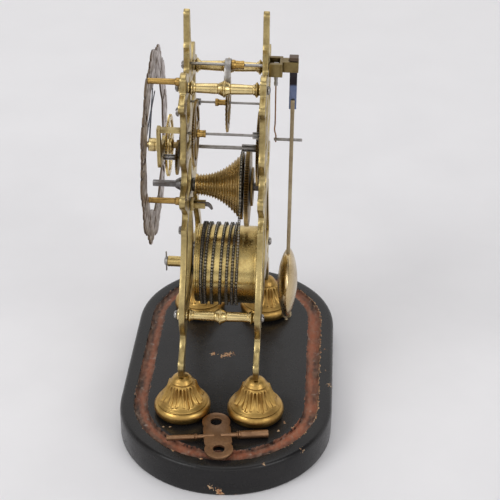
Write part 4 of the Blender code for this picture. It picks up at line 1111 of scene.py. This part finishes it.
def fusee_groove(start, end):
    """Relief of the spiral groove that the chain lies in, between two depths."""

    def relief(along, angle):
        if not start + 0.05 < along < end - 0.05:
            return 0.0
        turn = (along - start) / (end - start) * FUSEE_GROOVES + angle / TAU
        inside = min(1.0, max(0.0, along - start - 0.8)) * min(1.0, max(0.0, (end - along) / 0.6))
        ridge = abs(math.cos(math.pi * turn)) ** 4
        return -FUSEE_GROOVE_DEPTH * (1.0 - ridge) * inside

    return relief


def make_fusee(brass):
    """The cone with its helical groove."""
    start, stop = depths("fusee_cone")
    grooves_end = stop - FUSEE_RIM
    rings = FUSEE_GROOVES * RINGS_PER_GROOVE
    flare = [(start + (grooves_end - start) * i / rings,
              FUSEE_SMALL + (FUSEE_LARGE - FUSEE_SMALL) * (i / rings) ** FUSEE_FLARE)
             for i in range(rings + 1)]
    rim = [(stop - 2.4, FUSEE_LARGE), (stop - 2.2, FUSEE_LARGE), (stop - 0.3, FUSEE_LARGE),
           (stop, FUSEE_LARGE - 0.3), (stop, 3.4)]
    cone = Shape().turned([(start, 3.4)] + flare + rim, FUSEE, 96, closed=True,
                          relief=fusee_groove(start, grooves_end))
    cone.done("fusee_cone_grooved", "fusee", brass, ["fusee_cone"], 60.0)


def make_great_wheel(look):
    """The great wheel, and the cap that holds it against the fusee."""
    cut_piece("great_wheel", "cut", "great", look, 0.15)
    start, end = depths("fusee_cap")
    cap = [(start, 4.0), (end, 4.0), (end, 7.0), (end - 0.3, 7.4), (end - 0.3, 15.4), (end, 15.8),
           (end, 17.0), (start, 17.0)]
    turned_piece("fusee_cap_turned", "fusee", look, cap, FUSEE, 72, ["fusee_cap"], closed=True)


def make_fusee_arbor(look):
    """The fusee's arbor, with its winding square in front."""
    shaft = [(-12.0, 3.3), (-12.0, 3.6), (-11.0, 4.2), (-7.6, 6.0), (-7.0, 6.0), (-6.6, 5.6),
             (-6.6, 3.3), (2.8, 3.3), (2.8, 6.0), (5.1, 6.0), (5.1, 3.0), (48.0, 3.0), (48.0, 3.6),
             (62.1, 3.6), (62.1, 2.0), (67.2, 2.0)]
    shape = Shape().turned(rounded(shaft, 0.15), FUSEE, 40)
    edge = SQUARE_HALF - SQUARE_CORNER
    square = []
    for quarter in range(4):
        turn = Matrix.Rotation(-quarter * math.pi / 2, 2)
        square += [tuple(Vector(FUSEE) + turn @ Vector(corner))
                   for corner in ((edge, SQUARE_HALF), (SQUARE_HALF, edge))]
    shape.plate([square], depths("fusee_arbor")[0], -11.0, 0.35)
    shape.done("fusee_arbor_squared", "fusee", look, ["fusee_arbor"])


# ---------------------------------------------------------------- going train

def make_arbor(body, profile, look):
    """An arbor of the train, with the pinion cut from it."""
    name = body + "_arbor"
    start, end = PINIONS[body]
    shape = Shape().turned(rounded(profile, 0.12), arbor(body), 28)
    wheel(shape, name, start, end - start)
    shape.done(name + "_turned", body, look, [name])


def plain_arbor(pivot):
    """Profile of an arbor that is a little thinner in the plates."""
    body = pivot + 0.1
    return [(-2.2, pivot), (2.9, pivot), (2.9, body), (62.1, body), (62.1, pivot), (67.2, pivot)]


# Depths of the pinions, and depths, bores and radii of the collets.
PINIONS = {"centre": (45.6, 58.5), "third": (56.0, 61.9), "escape": (6.8, 10.9)}
TRAIN_COLLETS = {"third": (9.7, 17.0, 1.15, 3.8), "escape": (23.0, 32.6, 1.05, 3.2)}
PALLET_COLLET = (36.7, 47.0, 1.3, 4.2)


def make_train(brass, steel, gold):
    long_arbor = [(-42.0, 0.9), (-41.5, 1.2), (2.8, 1.2), (2.8, 1.6), (61.6, 1.6), (61.6, 1.2),
                  (67.2, 1.2)]
    for body, profile in (("centre", long_arbor), ("third", plain_arbor(1.0)),
                          ("escape", plain_arbor(0.9))):
        make_arbor(body, profile, steel)
    for body, measures in TRAIN_COLLETS.items():
        turned_piece(body + "_collet", body, gold, collet(*measures), arbor(body), 36, soft=0.2,
                     closed=True)
    for body in ("centre", "third", "escape"):
        cut_piece(body + "_wheel", "cut", body, brass)


def make_pallets(steel, gold):
    shaft = [(-2.2, 1.0), (2.9, 1.0), (2.9, 1.25), (71.6, 1.25), (71.6, 3.4), (75.6, 3.4),
             (76.2, 1.0), (78.9, 1.0)]
    turned_piece("pallet_arbor_turned", "pallets", steel, shaft, PALLET, 32, ["pallet_arbor"])
    turned_piece("pallet_collet", "pallets", gold, collet(*PALLET_COLLET), PALLET, 40, soft=0.2,
                 closed=True)
    cut_piece("anchor", "filed", "pallets", steel, 0.3, 1.0, 70.0)


def make_crutch(steel, bronze):
    """A bent wire down to the pendulum's rod, with a turned stem at its top and a pin at its foot."""
    low, high = node_box("crutch")
    level = low.z + 0.9
    route = [(73.6, high.z), (73.6, PALLET[1] - 25.0), (73.7, PALLET[1] - 50.0), (73.3, level + 9.0),
             (74.4, level + 4.0), (74.6, level), (74.5, level - 2.6)]
    path = smooth_open([Vector((0.0, depth, z)) for depth, z in route], 6)
    wire = Shape().tube(path, 0.62, 14)
    wire.done("crutch_wire", "pallets", bronze, ["crutch"], slot="steel")
    pin = [(72.9, 0.8), (73.1, 1.3), (high.y - 0.4, 1.3), (high.y, 0.9)]
    stem = [(308.8, 0.7), (309.4, 1.5), (311.6, 1.7), (313.0, 1.3), (314.4, 1.6), (322.4, 1.6)]
    shape = Shape().turned(rounded(pin, 0.15), (0.0, level), 24)
    shape.turned(rounded(stem, 0.15), (0.0, 73.6), 24, axis="Z")
    shape.done("crutch_pin", "pallets", steel)


# ---------------------------------------------------------------- stop work and click

def make_stop_work(brass, steel):
    low, high = node_box("stop_work_block")
    x, z = middle("stop_work_block")
    shape = Shape().block((low.x, low.y, low.z), (high.x, 6.0, high.z), 0.35)
    shape.side_blocks(x, 1.7, 4.3, (5.6, high.y), (z - 2.2, z + 2.2), 0.3)
    shape.done("stop_work_block_filed", "frame", brass, ["stop_work_block"])

    lever = [(8.5, 1.6), (8.5, -1.6), (17.0, -1.4), (19.2, -2.6), (21.0, -4.8), (22.4, -4.0),
             (21.4, -1.2), (19.6, 1.0), (17.5, 2.0)]
    shape = Shape().plate([smooth_loop(lever, 0.5, 75.0)], -1.2, 1.2, 0.25)
    shape.turn(Matrix(((0, 1, 0, x), (1, 0, 0, 0), (0, 0, 1, z), (0, 0, 0, 1))))
    shape.done("stop_lever_hooked", "stop", steel, ["stop_lever"])


def keep_click(look):
    """Colour the CAD nodes that no piece stands in for: the barrel's click keeps its CAD shape."""
    for node in frame["nodes"].values():
        if not node.hide_render:
            node.data.materials.clear()
            node.data.materials.append(look.material)


# ---------------------------------------------------------------- back cock and pendulum

def make_back_cock(brass, dark):
    """A cock of a bar and two feet, with a bush, two cheeks and the bridge between them."""
    low, high = node_box("back_cock")
    half, bottom, top = high.x, low.z, low.z + 11.4
    shape = Shape().block((-half, 76.6, bottom), (half, 79.0, top), 0.3)
    shape.side_blocks(0.0, half - 3.8, half, (low.y, 76.9), (bottom + 0.02, top - 0.02), 0.3)
    shape.turned(pipe(low.y, 71.2, 1.4, 2.8, 0.2), PALLET, 28, closed=True)
    shape.side_blocks(0.0, 0.9, 5.0, (78.8, high.y), (bottom + 2.8, high.z), 0.25)
    shape.block((-1.2, 78.9, bottom + 2.9), (1.2, 83.5, high.z - 0.1), 0.1)
    shape.done("back_cock_filed", "frame", brass, ["back_cock"])
    block = Shape().block(*node_box("suspension_block"), 0.35)
    block.done("suspension_block_filed", "frame", dark, ["suspension_block"])


THREAD_STEPS, BOB_STEPS = 22, 22


def make_rod(look, blue):
    """The suspension spring, and a flat rod slit for it above and threaded below."""
    Shape().block(*node_box("pendulum_spring"), 0.08).done("suspension_spring", "pendulum", blue,
                                                           ["pendulum_spring"])
    low, high = node_box("pendulum_rod")
    depth = (low.y + high.y) / 2
    bob_low, bob_high = node_box("pendulum_bob")
    flat_end = bob_high.z - 0.2
    outline = [(-3.0, flat_end), (3.0, flat_end), (3.0, high.z - 2.0), (2.0, high.z), (-2.0, high.z),
               (-3.0, high.z - 2.0)]
    shape = Shape().plate([outline, circle(1.7, (0.0, PALLET[1] - 66.8), 24)], low.y, high.y, 0.35)
    tail = [(low.z + (bob_low.z - low.z) * i / THREAD_STEPS, 1.3 if i % 2 else 1.1)
            for i in range(THREAD_STEPS + 1)]
    tail += [(bob_low.z + 0.4, 1.3), (flat_end + 0.3, 1.3)]
    shape.turned(tail, (0.0, depth), 16, axis="Z")
    shape.side_blocks(0.0, 0.35, 2.4, (depth - 1.7, depth + 1.7), (high.z - 3.0, high.z + 9.4), 0.3)
    shape.done("pendulum_rod_filed", "pendulum", look, ["pendulum_rod"])


def make_bob(look):
    """A lens with a sharp rim."""
    low, high = node_box("pendulum_bob")
    depth, half, radius = (low.y + high.y) / 2, (high.y - low.y) / 2, (high.z - low.z) / 2
    front = []
    for i in range(BOB_STEPS):
        angle = math.pi / 2 * (i + 0.35) / BOB_STEPS
        front.append((depth - half * math.cos(angle) ** 1.15 * 0.985 - 0.12,
                      radius * math.sin(angle) ** 1.12))
    front += [(depth - 0.55, radius - 0.35), (depth - 0.3, radius - 0.02)]
    profile = front + [(2 * depth - along, r) for along, r in reversed(front)]
    shape = Shape().turned(profile, (0.0, (low.z + high.z) / 2), 128)
    shape.done("pendulum_bob_polished", "pendulum", look, ["pendulum_bob"], 60.0)


def make_nut(look):
    """The knurled rating nut."""
    low, high = node_box("rating_nut")
    wide = (high.x - low.x) / 2
    nut = [(low.z, 1.7), (low.z, wide - 0.5), (low.z + 0.5, wide - 0.1), (high.z - 0.5, wide - 0.1),
           (high.z, wide - 0.5), (high.z, 1.7)]

    def knurl(along, angle):
        return 0.14 * math.cos(36 * angle) if low.z + 0.3 < along < high.z - 0.3 else 0.0

    shape = Shape().turned(nut, (0.0, (low.y + high.y) / 2), 144, axis="Z", closed=True, relief=knurl)
    shape.done("rating_nut_knurled", "pendulum", look, ["rating_nut"])


# ---------------------------------------------------------------- key

SPRING_CHANGE = 0.3097  # height in metres where the spring's black ends and its blue begins
KEY_PLACE, KEY_TURN = (121.6, -3.1), 8.3  # middle on the base, and degrees from the Y axis
BOW_RADIUS, BOW_OFFSET, EYE_RADIUS = 12.3, 18.4, 5.1
BOW_WAIST, BOW_SIDE, BOW_HALF = 10.5, 12.0, 1.25


def make_key(look):
    """Flat bow with two eyes and two turned tubes, lying on the base."""
    low, high = node_box("winding_key")
    top = [polar(BOW_RADIUS, math.radians(-118 + 236 * i / 40), (BOW_OFFSET, 0)) for i in range(41)]
    side = top + [(BOW_WAIST, BOW_SIDE), (-BOW_WAIST, BOW_SIDE)]
    outline = side + [(-x, -z) for x, z in side]
    eyes = [circle(EYE_RADIUS, (x, 0)) for x in (BOW_OFFSET, -BOW_OFFSET)]
    shape = Shape().plate([outline] + eyes, -BOW_HALF, BOW_HALF, 0.3)
    shape.turn(Matrix.Rotation(math.radians(90), 4, "X"))
    thin = [(-44.0, 1.2), (-44.0, 2.1), (-43.6, 2.3), (-20.4, 2.3), (-20.0, 2.0), (-19.6, 2.9),
            (-19.0, 2.9), (-18.6, 2.3), (-18.2, 2.7), (-17.6, 2.7), (-17.2, 1.9), (-3.0, 1.9),
            (-2.4, 1.3)]
    thick = [(2.6, 1.5), (3.0, 2.2), (16.6, 2.2), (17.0, 3.2), (17.6, 3.4), (18.2, 2.6), (18.6, 3.4),
             (19.2, 3.7), (19.8, 3.5), (20.2, 3.1), (20.6, 3.5), (43.4, 3.5), (44.0, 3.2), (44.0, 2.1),
             (34.0, 2.1), (34.0, 0.3)]
    shape.turned(rounded(thin, 0.12), (0, 0), 32)
    shape.turned(rounded(thick, 0.12), (0, 0), 36)
    place = (KEY_PLACE[0], KEY_PLACE[1] - FRONT_Y, (low.z + high.z) / 2)
    shape.turn(Matrix.Translation(place) @ Matrix.Rotation(math.radians(KEY_TURN), 4, "Z"))
    shape.done("winding_key_worn", "key", look, ["winding_key"])


# ---------------------------------------------------------------- studio

CAMERA_PLACE = Vector((1.0038, 0.0734, 0.7573))
CAMERA_RIGHT = Vector((-0.0632, 0.9979, 0.0104))
CAMERA_UP = Vector((-0.5166, -0.0417, 0.8552))
LENS, SENSOR = 94.4, 36.0
FLOOR_RADIUS = 6.0
LIGHT_TARGET = Vector((0.0, 0.0, 0.15))
# Brightness round the clock as seen in its metal, as (share of a half turn, brightness).
SKY = [(0.0, 0.30), (0.03, 0.34), (0.06, 1.05), (0.23, 1.1), (0.28, 0.5), (0.46, 0.42),
       (0.53, 0.16), (0.66, 0.2), (0.72, 0.95), (1.0, 0.95)]


def make_camera():
    data = bpy.data.cameras.new("camera")
    data.lens, data.sensor_width = LENS, SENSOR
    data.clip_start, data.clip_end = 0.01, 50.0
    camera = linked("camera", data)
    right = CAMERA_RIGHT.normalized()
    back = right.cross(CAMERA_UP).normalized()
    turn = Matrix((right, back.cross(right), back)).transposed()
    camera.matrix_world = Matrix.Translation(CAMERA_PLACE) @ turn.to_4x4()
    bpy.context.scene.camera = camera


def make_floor():
    """A broad, pale, slightly uneven sheet."""
    bm = bmesh.new()
    bmesh.ops.create_circle(bm, cap_ends=True, segments=96, radius=FLOOR_RADIUS)
    mesh = bpy.data.meshes.new("floor")
    bm.to_mesh(mesh)
    bm.free()
    look = Look("floor_sheet", Roughness=0.85, Specular_IOR_Level=0.2)
    cloud = look.span(look.noise(9.0, 6.0), 0.35, 0.65)
    sheet = look.mix(cloud, rgb(0.785, 0.78, 0.80), rgb(0.755, 0.75, 0.77))
    away = look.node("VectorMath", {0: look.place}, operation="LENGTH").outputs["Value"]
    look.set("Base Color", look.mix(look.span(away, 0.3, 1.6), sheet, rgb(0.93, 0.925, 0.945)))
    look.bump(look.noise(25.0, 5.0), 0.15, 0.002)
    mesh.materials.append(look.material)
    linked("floor", mesh)


def make_world():
    """Pale all round for the eye; for reflections, white cards with darker gaps between them."""
    world = bpy.data.worlds.new("studio")
    world.use_nodes = True
    bpy.context.scene.world = world
    sky = Nodes(world.node_tree)
    split = sky.node("SeparateXYZ", {0: sky.node("TexCoord").outputs["Generated"]})
    angle = sky.maths("ARCTAN2", split.outputs["Z"], split.outputs["X"])
    ramp = sky.node("ValToRGB", {0: sky.maths("DIVIDE", angle, math.pi)})
    elements = ramp.color_ramp.elements
    while len(elements) < len(SKY):
        elements.new(0.5)
    for element, (position, value) in zip(elements, SKY):
        element.position = position
        element.color = rgb(value, value * 0.985, value * 0.98)
    seen = sky.node("LightPath").outputs["Is Camera Ray"]
    background = world.node_tree.nodes["Background"]
    sky.feed(background.inputs["Color"], sky.mix(seen, ramp.outputs["Color"], rgb(0.79, 0.775, 0.795)))
    background.inputs["Strength"].default_value = 1.0


def make_light(name, place, size, power):
    data = bpy.data.lights.new(name, "AREA")
    data.shape = "RECTANGLE"
    data.size = data.size_y = size
    data.energy = power
    light = linked(name, data)
    light.location = place
    light.rotation_euler = (Vector(place) - LIGHT_TARGET).to_track_quat("Z", "Y").to_euler()


def make_studio():
    make_world()
    make_floor()
    make_light("key_light", (1.1, -1.3, 1.6), 1.0, 14.0)
    make_light("fill_light", (1.2, 1.4, 1.1), 0.9, 7.0)
    make_light("top_light", (-0.5, 0.0, 2.2), 1.6, 12.0)
    bpy.context.scene.view_settings.view_transform = "Standard"


# ---------------------------------------------------------------- the clock

def make_frame(plate_brass, turned_brass, steel):
    make_base(black_wood())
    make_feet(metal("cast_brass", "brass", (0.50, 0.32, 0.098), (0.34, 0.20, 0.06), 0.34, painted_shade=1.0))
    make_plates(plate_brass)
    make_pillars(turned_brass)
    make_screws(steel, turned_brass)


def make_power(dark_brass, dark_steel, steel, blue):
    """The barrel, the chain and the fusee."""
    barrel_brass = metal("barrel_brass", "brass", (0.66, 0.51, 0.21), (0.50, 0.35, 0.13), 0.24,
                         lathe=0.8, specks=0.7)
    fusee_brass = metal("fusee_brass", "brass", (0.62, 0.46, 0.21), (0.36, 0.25, 0.10), 0.24,
                        painted_shade=1.0, lathe=0.6)
    chain_steel = metal("chain_steel", "chain_steel", (0.05, 0.045, 0.04), (0.018, 0.015, 0.013),
                        0.36, painted_shade=1.0)
    # Pale steel for the rivets and single plates: their polish, and a painted highlight standing for
    # the chain's glints.
    rivet_steel_with_glint = metal("rivet_steel_with_glint", "chain_steel", (0.36, 0.33, 0.27), (0.20, 0.17, 0.12), 0.26,
                        painted_shade=0.6)
    make_barrel(barrel_brass)
    make_barrel_core(barrel_brass, steel, blue)
    make_chain((chain_steel, rivet_steel_with_glint))
    make_fusee(fusee_brass)
    make_fusee_arbor(dark_steel)
    make_great_wheel(dark_brass)


def make_pendulum():
    """The back cock and the pendulum that hangs from it."""
    cock_brass = metal("cock_brass", "brass", (0.22, 0.165, 0.07), (0.15, 0.105, 0.045), 0.36)
    block_brass = metal("block_brass", "brass", (0.12, 0.085, 0.06), (0.07, 0.05, 0.035), 0.4)
    rod_brass = metal("rod_brass", "brass", (0.37, 0.30, 0.185), (0.26, 0.20, 0.12), 0.3)
    bob_brass = metal("bob_brass", "brass", (0.62, 0.48, 0.27), (0.45, 0.33, 0.17), 0.2, lathe=0.5,
                      painted_shade=0.2)
    spring_blue = blued("spring_blue", (0.10, 0.13, 0.22), (0.15, 0.18, 0.28), SPRING_CHANGE)
    make_back_cock(cock_brass, block_brass)
    make_rod(rod_brass, spring_blue)
    make_bob(bob_brass)
    make_nut(rod_brass)


def make_clock():
    plate_brass = metal("plate_brass", "brass", (0.50, 0.39, 0.175), (0.31, 0.235, 0.10), 0.30,
                        grain=(1.0, 1.0, 0.12))
    turned_brass = metal("turned_brass", "brass", (0.72, 0.57, 0.28), (0.50, 0.37, 0.16), 0.22,
                         lathe=1.0)
    dark_brass = metal("dark_brass", "brass", (0.30, 0.21, 0.09), (0.15, 0.10, 0.04), 0.32, lathe=0.6)
    gold_brass = metal("collet_brass", "brass", (0.50, 0.32, 0.10), (0.30, 0.18, 0.055), 0.28,
                       lathe=0.8)
    steel = metal("steel", "steel", (0.36, 0.35, 0.34), (0.24, 0.22, 0.2), 0.30, lathe=0.8)
    dark_steel = metal("dark_steel", "steel", (0.2, 0.2, 0.2), (0.12, 0.1, 0.09), 0.3, lathe=0.4)
    bronze = metal("bronze", "bronze", (0.345, 0.20, 0.11), (0.22, 0.125, 0.07), 0.42, painted_shade=0.6,
                   lathe=0.3)
    blue = blued("blued_steel", (0.03, 0.032, 0.042), (0.07, 0.072, 0.085))

    make_frame(plate_brass, turned_brass, steel)
    make_dial(silvered(), numeral_black(), gold_brass)
    make_motion_work(turned_brass, steel, dark_brass)
    make_hands(blue, turned_brass)
    make_bridge(plate_brass)
    make_power(dark_brass, dark_steel, steel, blue)
    make_train(dark_brass, steel, gold_brass)
    make_pallets(steel, gold_brass)
    make_crutch(steel, bronze)
    make_stop_work(plate_brass, dark_steel)
    make_pendulum()
    make_key(bronze)
    keep_click(steel)


make_camera()
make_studio()
make_clock()
